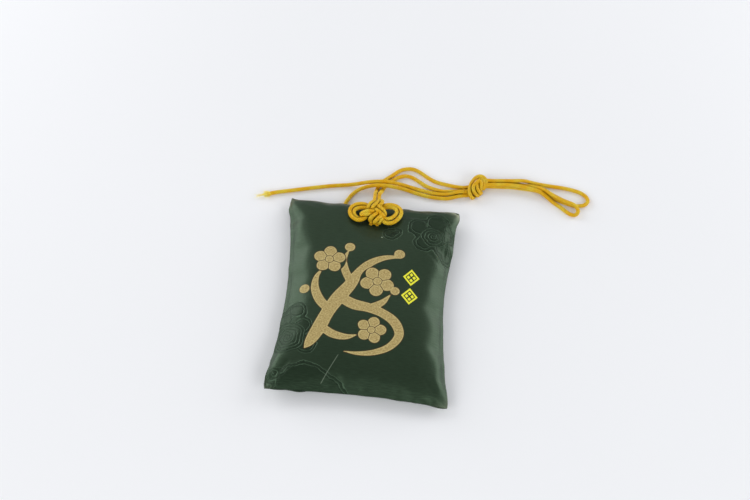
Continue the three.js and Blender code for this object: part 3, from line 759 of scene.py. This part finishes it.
def edge_puckers(u, v, x, y, seed):
    """Small puckers that stand off each seam and die out within a few millimetres of it."""
    def along_seam(t, size, run, seed):
        fade = np.exp(-(1 - np.abs(t)) * size / 2 / PUCKER_REACH)
        return fade * ripple(run + 40 * np.sign(t), PUCKER_LENGTH, seed)
    both = along_seam(u, POUCH_WIDTH, y, seed) + along_seam(v, POUCH_HEIGHT, x, seed + 1)
    return 2 * PUCKER_DEPTH * both * rise(u) * rise(v)


def fan(dx, dy, size, spokes, turn, reach):
    """Folds that spread from a point like a fan's and fade with the distance."""
    distance = np.hypot(dx, dy)
    wave = np.cos(spokes * np.arctan2(dy, dx) + turn)
    return size * wave * np.exp(-distance / reach) * distance / (distance + 2)


def corner_folds(u, v, x, y, seed):
    """Folds that run out of each corner."""
    total = np.zeros_like(x)
    rng = np.random.default_rng(seed)
    for across, along in ((-1, -1), (1, -1), (-1, 1), (1, 1)):
        dx, dy = POUCH_WIDTH / 2 - across * x, POUCH_HEIGHT / 2 - along * y
        size, spokes, turn = rng.uniform(0.25, 0.4), rng.uniform(7, 9), rng.uniform(0, 6)
        total += fan(dx, dy, size, spokes, turn, CORNER_REACH)
    return total * rise(u) * rise(v)


def creases(x, y):
    """Single folds along straight lines, each a bell across the line and fading to both ends."""
    total = np.zeros_like(x)
    for ax, ay, bx, by, height, width in FRONT_CREASES:
        length = math.hypot(bx - ax, by - ay)
        along = ((x - ax) * (bx - ax) + (y - ay) * (by - ay)) / length**2
        across = ((x - ax) * (by - ay) - (y - ay) * (bx - ax)) / length
        fade = np.sqrt(np.maximum(0, 4 * along * (1 - along)))
        total += height * fade * np.exp(-(across / width) ** 2)
    return total


def slack(x, y, seed):
    """Broad shallow swells of the padding under the cloth."""
    return 0.2 * ripple(x + 0.4 * y, 31, seed) + 0.16 * ripple(y - 0.3 * x, 37, seed + 1)


def rolled(u, v, x, y, seed):
    """Moves the cloth near the seam outwards, so that it rolls over the seam line."""
    def bulge(t):
        depth = (1 - np.abs(t)) / ROLL_REACH
        return np.sign(t) * depth * np.exp(1 - depth)
    wave = ROLL_OVERHANG * (1 + 0.5 * ripple(x + y, WAVE_LENGTH, seed))
    return x + bulge(u) * wave, y + bulge(v) * wave


def front_face(u, v):
    """The front cloth's outer face, with the folds that the cord's pull sends out like spokes."""
    x, y = cloth_plan(u, v)
    crown = rise(u) * rise(v)
    height = (FRONT_RISE - EDGE_GAP) * crown - CINCH_FRONT * cinch(x, y) * crown
    height += edge_puckers(u, v, x, y, 11) + corner_folds(u, v, x, y, 12)
    spokes = fan(x - KNOT_MIDDLE[0], y - HOLES_Y, 0.22, 5, 1, KNOT_REACH)
    height += (slack(x, y, 13) + spokes + creases(x, y)) * crown
    x, y = rolled(u, v, x, y, 14)
    return np.stack([x, y, seam_height(u, v) + EDGE_GAP + np.maximum(height, 0)], -1)


def back_face(u, v):
    """The back cloth's outer face, which lies flat where it meets the surface under it."""
    x, y = cloth_plan(u, v)
    drop = BACK_DROP * (rise(u) * rise(v)) - CINCH_BACK * cinch(x, y)
    drop += edge_puckers(u, v, x, y, 21) + corner_folds(u, v, x, y, 22)
    height = seam_height(u, v) - EDGE_GAP - np.maximum(drop, 0)
    x, y = rolled(u, v, x, y, 24)
    return np.stack([x, y, np.maximum(height, 0)], -1)


# The stuffing's push: before the panels are cut to their final grid, they are blown up a little as
# one closed bag with Blender's cloth, held at the seam and at the cord's holes.
BAG_GRID = (61, 76)
BAG_SCALE = 10
BAG_SPARE_CLOTH = 0.015
BAG_FRAMES = 20
BAG_LIMIT = 0.7
BAG_BLUR = 1.5
HELD_CINCH = 0.4
RIM_FADE = 0.03
UV_SPAN = 100


def blown_up():
    """How far each point of both faces moves when the bag is blown up, up to the limit.

    The faces share the front's rim. The cloth is a little larger than the bag, so it puckers.
    """
    u, v = np.meshgrid(crowded(BAG_GRID[0]), crowded(BAG_GRID[1]))
    faces = np.stack([front_face(u, v), back_face(u, v)])
    points = faces.reshape(-1, 3) * MM * BAG_SCALE
    rim = (np.abs(u) == 1) | (np.abs(v) == 1)
    shared = np.where(rim.ravel(), np.arange(u.size), np.arange(u.size) + u.size)
    quads = quad_grid(*u.shape)
    mesh = bpy.data.meshes.new("bag")
    mesh.from_pydata(points.tolist(), [], np.vstack([quads, shared[quads][:, ::-1]]).tolist())
    bag = linked("bag", mesh)
    near_holes = cinch(faces[0, ..., 0], faces[0, ..., 1]) > HELD_CINCH
    held = np.flatnonzero(np.tile((rim | near_holes).ravel(), 2))
    bag.vertex_groups.new(name="held").add(held.tolist(), 1, "REPLACE")
    cloth = bag.modifiers.new("cloth", "CLOTH").settings
    cloth.vertex_group_mass = "held"
    cloth.quality = 6
    cloth.bending_stiffness = 0.5
    cloth.use_pressure = True
    cloth.uniform_pressure_force = 4
    cloth.shrink_min = -BAG_SPARE_CLOTH
    cloth.effector_weights.gravity = 0
    for step in range(1, BAG_FRAMES + 1):
        bpy.context.scene.frame_set(step)
    shown = bag.evaluated_get(bpy.context.evaluated_depsgraph_get()).data
    shift = (points_of(shown) - points) / MM / BAG_SCALE
    bpy.context.scene.frame_set(1)
    bpy.data.objects.remove(bag)
    bpy.data.meshes.remove(mesh)
    length = np.linalg.norm(shift, axis=1)[:, None]
    shift *= np.minimum(1, BAG_LIMIT / np.maximum(length, BAG_LIMIT / 1e3))
    shift[u.size:][rim.ravel()] = 0
    return shift.reshape(faces.shape)


def on_grid(shift, grid):
    """The shifts on a finer grid, where a bell weighs the coarse ones, and none at the rim."""
    def weights(coarse, fine):
        stops = np.linspace(-1, 1, fine)[:, None]
        gap = stops - np.linspace(-1, 1, coarse)
        bell = np.exp(-(gap * (coarse - 1) / 2 / BAG_BLUR) ** 2)
        return bell / bell.sum(1, keepdims=True) * np.clip((1 - np.abs(stops)) / RIM_FADE, 0, 1)
    across, along = weights(BAG_GRID[0], grid[0]), weights(BAG_GRID[1], grid[1])
    return np.einsum("ri,ijk,cj->rck", along, shift, across)


front_push, back_push = blown_up()


def cloth_form(outer, inner, values, upward):
    """A closed cloth between a fine outer face and an inner face with fewer lines.

    At the rim, one face joins each inner edge to the outer edges beside it.
    """
    def rim(rows, columns, start):
        index = start + np.arange(rows * columns).reshape(rows, columns)
        edges = [index[0, :-1], index[:-1, -1], index[-1, :0:-1], index[:0:-1, 0]]
        return np.concatenate(edges).tolist()

    base = outer.shape[0] * outer.shape[1]
    fine, coarse = rim(*outer.shape[:2], 0), rim(*inner.shape[:2], base)
    step = len(fine) // len(coarse)
    caps = [
        [coarse[i], coarse[(i + 1) % len(coarse)]]
        + [fine[(i * step + k) % len(fine)] for k in range(step, -1, -1)]
        for i in range(len(coarse))
    ]
    quads = np.vstack([quad_grid(*outer.shape[:2]), quad_grid(*inner.shape[:2], base)[:, ::-1]])
    if not upward:
        quads = quads[:, ::-1]
        caps = [cap[::-1] for cap in caps]
    points = np.vstack([outer.reshape(-1, 3), inner.reshape(-1, 3)])
    uv = points[quads.ravel(), :2] / UV_SPAN + 0.5
    return {"points": points, "quads": quads, "caps": caps, "uv": uv, "values": values}


# Woven figure: a flowering plum branch in flat gold thread, in bold brush strokes, with two small
# lozenge flowers in yellow beside it, and clouds in the ground's own green.

# Each stroke's points: across, along and half the stroke's width there.
BRANCH_STROKES = [
    [
        (-21, -28.2, 0.3), (-19.4, -25.5, 1.8), (-16.6, -19.5, 2.6), (-14, -12.5, 2.5),
        (-10.6, -5.5, 2.7), (-6.6, 1, 2.4), (-3.6, 7, 1.9), (0, 11.6, 1.6), (5, 14.8, 1.2),
        (9.8, 16.2, 0.7), (13, 16.2, 0.1),
    ],
    [(-13.6, -11, 1.7), (-17.6, -6.6, 1.8), (-20, -1, 1.5), (-19.8, 4, 0.9), (-18, 7.6, 0.2)],
    [
        (-10, -4.6, 2), (-4.4, -7.4, 2.3), (1.6, -8.4, 2), (7.6, -10.6, 1.8), (12.6, -14.4, 1.9),
        (14.4, -19.4, 1.7), (11.4, -24.4, 1.4), (5.6, -27.6, 1.1), (-0.6, -28.8, 0.7),
        (-6, -28.6, 0.1),
    ],
    [(-6.4, 3, 1.6), (-9, 8.2, 1.5), (-9.8, 13, 1.1), (-8.4, 17.4, 0.2)],
    [(-16.2, -18.4, 1.5), (-11.2, -21.6, 1.6), (-5.8, -22.4, 1.1), (-2, -21.2, 0.2)],
    [(2, -8.4, 1.4), (6.6, -5.8, 1.3), (9.6, -2, 0.2)],
]
# The blossoms are across, along, size and turn. Buds, puffs and rosettes have no turn.
BLOSSOMS = [(-15.6, 12.6, 6.2, 0.3), (4.2, 4, 6.6, 0.9), (3.6, -18.2, 5.6, 0.1)]
BUDS = [(12, 18, 2.1), (-8, 19.4, 2), (11.4, 0.2, 1.8), (-24, -1.6, 1.9)]
LOZENGES = [(17.4, 7.6), (17.2, -1.3)]
LOZENGE_SIZE = (3.3, 3.9)
CLOUD_PUFFS = [
    (19, 33.5, 4.6), (26.5, 36.5, 5), (30, 31, 4.2), (28.6, 24.5, 4), (31, 20.4, 3.2),
    (21.2, 25.5, 4.2), (7.2, 28.8, 2.6), (10.4, 29.2, 1.9), (8.6, 26.9, 2), (-26, -11.5, 4),
    (-30, -15.5, 4), (-23, -18.6, 4), (-20.6, -26.8, 4), (-32, -40, 3.2), (-20, -46, 12),
    (-12, -47, 9), (-7, -49, 6.2),
]
PUFF_BLEND = 1.1
ROSETTES = [(24.8, 29.4, 5.2), (-28.2, -23.6, 7), (-31.6, -39.6, 2.4)]
SNAG = ((-7.8, -29.7), (-13.4, -41.5))
SPECK = (4.3, 26)
WORN_CORNERS = [(35, 45, 1), (-35, 45, 0.15), (-35, -45, 0.1), (35, -45, 0.2)]
RIB_SPACING = 0.42
TWILL_SPACING = 0.9
CLOUD_SPACING = 1.25
SPIRAL_SPACING = 1.3
GROOVE_SHIFT = 0.26
PETAL_GAP = 0.16
FAR_OFF = 50


def stroke_distance(x, y, points):
    """Distance to a brush stroke: to its nearest piece, less the half width there."""
    best = np.full(x.shape, float(FAR_OFF))
    line = smooth_path(points, 0.9)
    for (ax, ay, ar), (bx, by, br) in zip(line, line[1:]):
        length = (bx - ax) ** 2 + (by - ay) ** 2
        share = np.clip(((x - ax) * (bx - ax) + (y - ay) * (by - ay)) / length, 0, 1)
        gap = np.hypot(x - ax - share * (bx - ax), y - ay - share * (by - ay))
        best = np.minimum(best, gap - ar - share * (br - ar))
    return best


def puff_distance(x, y, puffs):
    """Distance to a group of round puffs, rounded where they meet by a soft minimum."""
    gaps = [np.hypot(x - px, y - py) - size for px, py, size in puffs]
    return -np.log(sum(np.exp(-PUFF_BLEND * gap) for gap in gaps) + 1e-9) / PUFF_BLEND


def figure_values(u, v, x, y):
    """What the cloth's material reads: how far figures and seams are, and how worn it is."""
    gold = np.minimum.reduce([stroke_distance(x, y, stroke) for stroke in BRANCH_STROKES])
    for centre_x, centre_y, size, _ in BLOSSOMS:
        gold = np.maximum(gold, size + 0.5 - np.hypot(x - centre_x, y - centre_y))
    for bud_x, bud_y, size in BUDS:
        gold = np.minimum(gold, np.hypot(x - bud_x, y - bud_y) - size)
    side = (1 - np.abs(u)) * POUCH_WIDTH / 2
    end = (1 - np.abs(v)) * POUCH_HEIGHT / 2
    worn = np.exp(-np.minimum(side, end) / 1.1) * sum(
        share * np.exp(-((x - cx) ** 2 + (y - cy) ** 2) / 12) for cx, cy, share in WORN_CORNERS
    )
    cloud = puff_distance(x, y, CLOUD_PUFFS)
    return {"gold": gold, "cloud": cloud, "worn": worn, "side": side, "end": end}


def blossom_distance(x, y, blossom):
    """Distance to five round petals about a middle disc, with thin gaps between them."""
    centre_x, centre_y, size, turn = blossom
    dx, dy = x - centre_x, y - centre_y
    distance = dx.hypot(dy)
    petal = (dy.angle(dx) - turn).nearest(2 * math.pi / 5)
    px, py = distance * petal.math("COSINE") - 0.58 * size, distance * petal.sine()
    petals = (px * px * 0.8 + py * py).root() - 0.4 * size
    split = PETAL_GAP - distance * (math.pi / 5 - petal).sine()
    moat = PETAL_GAP - abs(distance - 0.27 * size)
    return petals.most(split).most(moat).least(distance - 0.25 * size)


def lozenge_distance(x, y, centre):
    """Distance to a diamond's thin outline and to four small diamond petals inside it."""
    dx = abs(x - centre[0]) / LOZENGE_SIZE[0]
    dy = abs(y - centre[1]) / LOZENGE_SIZE[1]
    best = abs(dx + dy - 0.86) - 0.14
    for across, along in ((0.34, 0), (0, 0.34)):
        best = best.least(abs(dx - across) + abs(dy - along) - 0.225)
    return best * LOZENGE_SIZE[0]


def flaws(x, y):
    """Where the cloth is marred: faintly along one pulled thread, and fully at one pale speck."""
    (ax, ay), (bx, by) = SNAG
    length = math.hypot(bx - ax, by - ay)
    across, along = (bx - ax) / length, (by - ay) / length
    off = abs((x - ax) * along - (y - ay) * across)
    run = ((x - ax) * across + (y - ay) * along).math("PINGPONG", length)
    between = (1 - (y - ay).smooth(-0.2, 0.2)) * (y - by).smooth(-0.2, 0.2)
    snag = (1 - off.smooth(0.08, 0.2)) * run.smooth(0, 1) * between
    return snag * 0.35 + (1 - (x - SPECK[0]).hypot(y - SPECK[1]).smooth(0.2, 0.4))


def brocade_look(name, figured):
    """Green satin: fine cross ribs, a silky drift of shade, figures in gold and in green, painted
    highlight and painted shadow on the green cloud lines, and painted sheen streaks near the
    edges.
    """
    look = Look(name)
    x, y = [(axis - 0.5) * UV_SPAN for axis in look.flat()]
    at = look.place(x, y)
    drift = look.noise(look.place(x * 0.35, y * 2.4), 1, 3)
    streak = look.noise(look.place(x * 0.25, y * 2.2), 1.3)
    wander = look.noise(at, 0.28) - 0.5
    rib = (y + drift * 0.2).wave(RIB_SPACING)

    cloud = look.attribute("cloud") + wander * 2.4
    shown = (1 - cloud.smooth(0.5, 0.7)) * cloud.smooth(-2, -1.8)
    # The cloud lines are paler green, partly the weave's own thread and partly painted highlight.
    # Each has a line of painted shadow beside it, which the bump also presses in.
    figure = cloud.lines(CLOUD_SPACING, 0.07, 0.2) * shown
    groove_shadow = (cloud + GROOVE_SHIFT).lines(CLOUD_SPACING, 0.1, 0.36) * shown
    inside = 1 - cloud.smooth(-0.4, 0.3)
    for centre_x, centre_y, size in ROSETTES:
        dx, dy = x - centre_x, y - centre_y
        angle = dy.angle(dx)
        petals = dx.hypot(dy) * ((angle * 5).math("COSINE") * 0.04 + 1) + wander * 1.6
        spiral = petals - angle * (SPIRAL_SPACING / (2 * math.pi))
        beside = spiral + GROOVE_SHIFT
        disc = 1 - petals.smooth(size - 0.1, size + 0.1)
        figure = figure * (1 - disc) + spiral.lines(SPIRAL_SPACING, 0.08, 0.24) * disc
        groove_shadow = groove_shadow * (1 - disc) + beside.lines(SPIRAL_SPACING, 0.08, 0.34) * disc
        inside = inside.most(disc)
    figure = figure * (look.noise(at, 0.16, 1).smooth(0.35, 0.6) * 0.5 + 0.5)

    near_edge = 1 - look.attribute("side").least(look.attribute("end")).smooth(0.5, 9)
    ground = look.paint(
        (24, 34, 23),
        (drift.smooth(0.3, 0.7), (31, 43, 31)),
        (inside * 0.45, (17, 29, 19)),
        (rib * 0.06 + 0.06, (58, 80, 60)),
        # Painted shadow beside each cloud line, then the paler cloud lines, which are partly
        # painted highlight.
        (groove_shadow * 0.7, (9, 18, 11)),
        (figure * 0.5, (80, 104, 82)),
        # Painted sheen: paler streaks only near the edges, where the satin's sheen bands fall.
        (near_edge * streak.smooth(0.35, 0.75) * 0.25, (70, 92, 72)),
    )
    height = rib * 0.01 + figure * 0.07 - groove_shadow * 0.08 + streak * near_edge * 0.03
    in_gold = 0
    if figured:
        gold = look.attribute("gold")
        for blossom in BLOSSOMS:
            gold = gold.least(blossom_distance(x, y, blossom))
        gold = gold + (look.noise(at, 3) - 0.5) * 0.12
        upper, lower = [lozenge_distance(x, y, centre) for centre in LOZENGES]
        in_gold = 1 - gold.smooth(-0.08, 0.04)
        in_yellow = 1 - upper.least(lower).smooth(-0.08, 0.08)
        edge = 1 - abs(gold - 0.05).smooth(0.1, 0.24)
        twill = (x * 1.1 + y * 1.5).wave(TWILL_SPACING)
        weave = twill * (x * 1.3 - y * 1.2).wave(TWILL_SPACING) * 0.3 + look.noise(at, 1.6, 3)
        thread = look.paint(
            (144, 116, 64),
            (weave.smooth(0.25, 0.8), (208, 188, 130)),
            (gold.smooth(-0.45, -0.1) * 0.6, (216, 200, 136)),
        )
        yellow = look.paint((226, 220, 36), (rib * 0.2 + 0.6, (252, 250, 70)))
        ground = look.paint(
            ground,
            (edge * 0.8, (104, 66, 40)),
            (in_gold, thread),
            (in_yellow, yellow),
            (flaws(x, y), (150, 165, 145)),
        )
        height = height * (1 - in_gold) + in_gold * (weave * 0.06 + 0.05) + in_yellow * 0.06
    fray = look.noise(look.place(x * 3, y * 3), 1.4, 3).smooth(0.25, 0.6)
    worn = (look.attribute("worn") * 1.7 * fray).least(1)
    return look.finish(
        height,
        (inside * 0.45 * (1 - in_gold), {"roughness": 0.5, "specular_ior_level": 0.16}),
        base_color=look.paint(ground, (worn, (186, 192, 168))),
        roughness=0.36 + in_gold * 0.2,
        specular_ior_level=0.5,
        specular_tint=(0.64, 1, 0.64, 1),
    )


INNER_STEP = 4


def cloth_panel(face, push, grid, upward):
    """A brocade panel: its outer face, its inner face a cloth's thickness in, and its figures."""
    u, v = np.meshgrid(crowded(grid[0]), crowded(grid[1]))
    x, y, z = np.moveaxis(face(u, v) + on_grid(push, grid), -1, 0)
    z = np.maximum(z, 0)
    way = 1 if upward else -1
    seam = seam_height(u, v)
    inside = way * np.maximum(way * z - CLOTH_THICKNESS, way * seam + EDGE_GAP / 2)
    coarse = (slice(None, None, INNER_STEP),) * 2
    values = {
        key: np.append(value, value[coarse] * 0 + FAR_OFF * (key != "worn"))
        for key, value in figure_values(u, v, x, y).items()
    }
    outer, inner = np.stack([x, y, z], -1), np.stack([x, y, inside], -1)[coarse]
    return cloth_form(outer, inner, values, upward)


front_cloth = cloth_panel(front_face, front_push, grid=(241, 301), upward=True)
back_cloth = cloth_panel(back_face, back_push, grid=(161, 201), upward=False)
front_look, back_look = brocade_look("front_brocade", True), brocade_look("back_brocade", False)
make_piece("front_panel", "cloth", front_cloth, front_look)
make_piece("back_panel", "cloth", back_cloth, back_look)

# Wadding: two pads of loose white fibre, a crowned one behind the front panel and a dished one on
# the back panel. They are only laid in, and the cord's pull keeps them in place.
WADDING_SHARE = 0.84
WADDING_MOUTH_SHARE = 0.56
WADDING_GAP = 0.4
WADDING_SLACK = 0.25
WADDING_THINNEST = 0.2
BACK_WADDING_TOP = 2.5
LUMP_SIZE = 0.12
LAYER_GAP = 0.3
LINING_THICKNESS = 0.2
LININGS_APART = 0.5
AMULET_ROOM = 2
POCKET_SLOPES = (0.36, 0.24)


def layer_grid(share, mouth_share, counts):
    """Grid lines up to a share of the way to the plan's edges, crowded towards the ends."""
    middle, half = (mouth_share - share) / 2, (mouth_share + share) / 2
    return np.meshgrid(share * crowded(counts[0]), middle + half * crowded(counts[1]))


def layer_form(u, v, bottom, top):
    """A closed layer between two heights over the same grid of the pouch's plan."""
    x, y = cloth_plan(u, v)
    lower, upper = np.stack([x, y, bottom], -1), np.stack([x, y, top], -1)
    return cloth_form(upper, lower, {}, True)


def lining_height(u, v):
    """The front lining's underside: just off the back lining, and it rises over the amulet."""
    across, along = POCKET_SLOPES
    share = np.clip((1 - np.abs(u)) / across, 0, 1) * np.clip((1 - np.abs(v)) / along, 0, 1)
    room = AMULET_ROOM * (share * share * (3 - 2 * share))
    return seam_height(u, v) - LINING_THICKNESS + LININGS_APART + room


def wadding_form(bottom, top):
    """A pad between two heights, thick in the middle and thin at its soft edge."""
    u, v = layer_grid(WADDING_SHARE, WADDING_MOUTH_SHARE, counts=(81, 81))
    middle = (WADDING_MOUTH_SHARE - WADDING_SHARE) / 2
    half = (WADDING_MOUTH_SHARE + WADDING_SHARE) / 2
    edge = np.sqrt(rise(u / WADDING_SHARE) * rise((v - middle) / half))
    x, y = cloth_plan(u, v)
    lumps = LUMP_SIZE * (ripple(x, 5, 31) * ripple(y, 6, 32) + ripple(x - y, 9, 33))
    floor, ceiling = bottom(u, v), top(u, v)
    depth = np.maximum(ceiling - floor - WADDING_SLACK, WADDING_THINNEST)
    centre = (floor + ceiling) / 2
    reach = np.maximum(depth / 2 * edge + lumps * edge, WADDING_THINNEST / 10)
    return layer_form(u, v, centre - reach, centre + reach)


def felt_look():
    """Loose white fibre: matt, with fine crossed hairs and faint grey hollows."""
    look = Look("white_wadding")
    clump, hair = look.noise(look.solid(), 220, 4), look.noise(look.solid(), 2600, 3)
    colour = look.paint(
        (221, 217, 205),
        (clump.smooth(0.3, 0.7), (243, 241, 233)),
        (hair.smooth(0.55, 0.8) * 0.4, (200, 196, 184)),
    )
    relief = clump * 0.3 + hair * 0.08
    return look.finish(relief, base_color=colour, roughness=0.95, sheen_weight=0.3)


white_felt = felt_look()
front_pad = wadding_form(
    lambda u, v: lining_height(u, v) + LINING_THICKNESS + LAYER_GAP,
    lambda u, v: front_face(u, v)[..., 2] - CLOTH_THICKNESS - WADDING_GAP,
)
back_pad = wadding_form(
    lambda u, v: back_face(u, v)[..., 2] + CLOTH_THICKNESS + WADDING_GAP,
    lambda u, v: np.full(u.shape, BACK_WADDING_TOP),
)
make_piece("front_wadding", "pad", front_pad, white_felt)
make_piece("back_wadding", "pad", back_pad, white_felt)

# Linings: two pieces of thin dark red cotton that make the pocket. They are sewn into the same
# seam as the panels, and are open towards the mouth.
LINING_SHARE = 0.95
LINING_WRINKLE = 0.035
LINING_WEAVE = 0.5


def lining_form(height, seed):
    """A thin sheet over a height, with faint creases that run across it at two slants."""
    u, v = layer_grid(LINING_SHARE, LINING_SHARE, counts=(121, 151))
    x, y = cloth_plan(u, v)
    wrinkles = ripple(x + 0.6 * y, 7, seed) + ripple(x - 1.3 * y, 11, seed + 1)
    bottom = height(u, v) + LINING_WRINKLE * wrinkles
    return layer_form(u, v, bottom, bottom + LINING_THICKNESS)


def lining_look():
    """Thin plain weave in dark red: one over and one under, with slubs in the yarn."""
    look = Look("red_lining")
    across, along = look.flat()
    slub = look.noise(look.place(across * 40, along * 400), 1)
    over = across.wave(LINING_WEAVE / UV_SPAN) * along.wave(LINING_WEAVE / UV_SPAN)
    colour = look.paint((98, 30, 26), (slub.smooth(0.3, 0.7), (128, 44, 36)))
    colour = look.paint((62, 16, 14), (over.smooth(-1, 0.6), colour))
    relief = over * 0.02 + slub * 0.02
    return look.finish(relief, base_color=colour, roughness=0.8, sheen_weight=0.2)


red_cotton = lining_look()
for name, height, seed, under in (
    ("front_lining", lining_height, 41, "amulet_wrapper"),
    ("back_lining", lambda u, v: seam_height(u, v) - 2 * LINING_THICKNESS, 43, "stiffener_card"),
):
    lining = make_piece(name, "cloth", lining_form(height, seed), red_cotton)

# Card and amulet: an uncoated card keeps the back flat. A thin wooden tablet stands in a wrapper
# of white paper, and both slide together in the pocket. Their CAD shapes stay as they are.
RING_SPACING = 1.7


def card_look():
    """Grey board: short brown and pale fibres in all directions."""
    look = Look("grey_card")
    pulp, fibre = look.noise(look.solid(), 500, 4), look.noise(look.solid(), 3000, 4)
    colour = look.paint(
        (168, 152, 122),
        (pulp.smooth(0.3, 0.7), (190, 174, 142)),
        (fibre.smooth(0.6, 0.75) * 0.6, (122, 104, 78)),
    )
    return look.finish(pulp * 0.04 + fibre * 0.02, base_color=colour, roughness=0.92)


def wood_look():
    """Planed cypress: straight fine grain along the tablet, with a pale body and warmer lines."""
    look = Look("bare_cypress")
    x, y, z = look.parts(look.solid(), 3)
    bend = look.noise(look.place(x * 60, y * 12, z * 60), 1)
    ring = ((x / MM + bend * 5) / RING_SPACING).math("FRACT")
    pore = look.noise(look.place(x * 4000, y * 160, z * 4000), 1)
    colour = look.paint(
        (232, 206, 164),
        (ring.smooth(0.1, 0.95), (206, 168, 118)),
        (pore.smooth(0.6, 0.75) * 0.5, (176, 136, 92)),
    )
    relief = pore * 0.03 - ring * 0.02
    return look.finish(relief, base_color=colour, roughness=0.6 + pore * 0.15)


def paper_look():
    """White handmade paper: cloudy, with long loose fibres."""
    look = Look("white_paper")
    cloud, hair = look.noise(look.solid(), 180, 3), look.noise(look.solid(), 1400, 5)
    strand = 1 - abs(hair - 0.5).smooth(0, 0.03)
    colour = look.paint(
        (236, 232, 222),
        (cloud.smooth(0.3, 0.7), (248, 246, 240)),
        (strand * 0.35, (214, 206, 188)),
    )
    return look.finish(cloud * 0.05 + strand * 0.03, base_color=colour, roughness=0.88)


for node, look in (
    ("stiffener_card", card_look()),
    ("amulet_tablet", wood_look()),
    ("amulet_wrapper", paper_look()),
):
    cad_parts[node].material_slots[0].material = look

# Seam thread: green thread in a ladder stitch between the two panels, along the sides and the
# bottom. It crosses from one panel to the other at each stitch and is drawn tight.
THREAD_RADIUS = 0.2
THREAD_INSET = 1.5
THREAD_REACH = 0.93
PLY_TURN = 0.6
STITCH_LENGTH = 1.3
STITCH_STEPS = 6
STITCH_RISE = 0.25
STITCH_SQUARENESS = 2.5


def stitch_path(start, end):
    """Stitches along a line in u and v: the height swings up and down once in two stitches."""
    u, v = np.linspace(start, end, 300).T
    x, y = cloth_plan(u, v)
    line = evenly(np.column_stack([x, y, seam_height(u, v)]), STITCH_LENGTH / STITCH_STEPS)
    swing = np.sin(np.arange(len(line)) * np.pi / STITCH_STEPS)
    line[:, 2] += STITCH_RISE * np.tanh(STITCH_SQUARENESS * swing)
    return line


def thread_look():
    """Green cotton thread of two twisted plies."""
    look = Look("green_thread")
    turn, run = look.flat()
    ply = (turn * 2 + run / PLY_TURN).nearest(1)
    hair = look.noise(look.solid(), 2500, 3).smooth(0.6, 0.8)
    colour = look.paint(
        (18, 30, 22), (ply.smooth(0, 0.3), (52, 76, 56)), (hair * 0.5, (84, 108, 86))
    )
    return look.finish(ply * 0.06, base_color=colour, roughness=0.7)


green_cotton = thread_look()
side, end = 1 - THREAD_INSET / (POUCH_WIDTH / 2), 1 - THREAD_INSET / (POUCH_HEIGHT / 2)
for name, corners in {
    "left": [(-side, -THREAD_REACH), (-side, THREAD_REACH)],
    "right": [(side, -THREAD_REACH), (side, THREAD_REACH)],
    "bottom": [(-THREAD_REACH, -end), (THREAD_REACH, -end)],
}.items():
    stitches = tube_form(stitch_path(*corners), THREAD_RADIUS, sides=8, relief=0)
    make_piece(f"seam_thread_{name}", "stitches", stitches, green_cotton)

# Floor: a plain pale surface under the pouch, with soft light from above and from both sides.
FLOOR_SIZE = 3000
# Each lamp's place, its width and height, and its power. It faces the pouch's middle.
LAMPS = {
    "lamp_left": ((-580, 385, 280), (560, 480), 2.75),
    "lamp_right": ((600, 370, 240), (560, 420), 2.4),
    "lamp_front_left": ((-550, -550, 480), (700, 500), 2.95),
    "lamp_front_right": ((550, -550, 480), (700, 500), 2.95),
    "lamp_behind": ((0, 700, 640), (600, 300), 0.5),
}


def floor_look():
    look = Look("pale_floor")
    shade = look.noise(look.solid(), 3).smooth(0.2, 0.8)
    colour = look.paint((244, 245, 248), (shade, (246, 247, 250)))
    return look.finish(base_color=colour, roughness=0.9, specular_ior_level=0.05)


half = FLOOR_SIZE / 2 * MM
corners = [(x * half, y * half, 0) for x, y in ((-1, -1), (1, -1), (1, 1), (-1, 1))]
floor = linked("floor", bpy.data.meshes.new("floor"))
floor.data.from_pydata(corners, [], [(0, 1, 2, 3)])
floor.data.materials.append(floor_look())
for name, (place, size, power) in LAMPS.items():
    lamp = linked(name, bpy.data.lights.new(name, "AREA"))
    lamp.data.shape = "RECTANGLE"
    lamp.data.size, lamp.data.size_y = size[0] * MM, size[1] * MM
    lamp.data.energy = power
    place = Vector(place) * MM
    turn = (-place).to_track_quat("-Z", "Y").to_matrix().to_4x4()
    lamp.matrix_world = Matrix.Translation(place) @ turn
world = bpy.data.worlds.new("world")
world.use_nodes = True
sky = world.node_tree.nodes["Background"].inputs
sky["Color"].default_value, sky["Strength"].default_value = (0.97, 0.985, 1, 1), 0.31
bpy.context.scene.world = world
bpy.context.scene.view_settings.view_transform = "Standard"
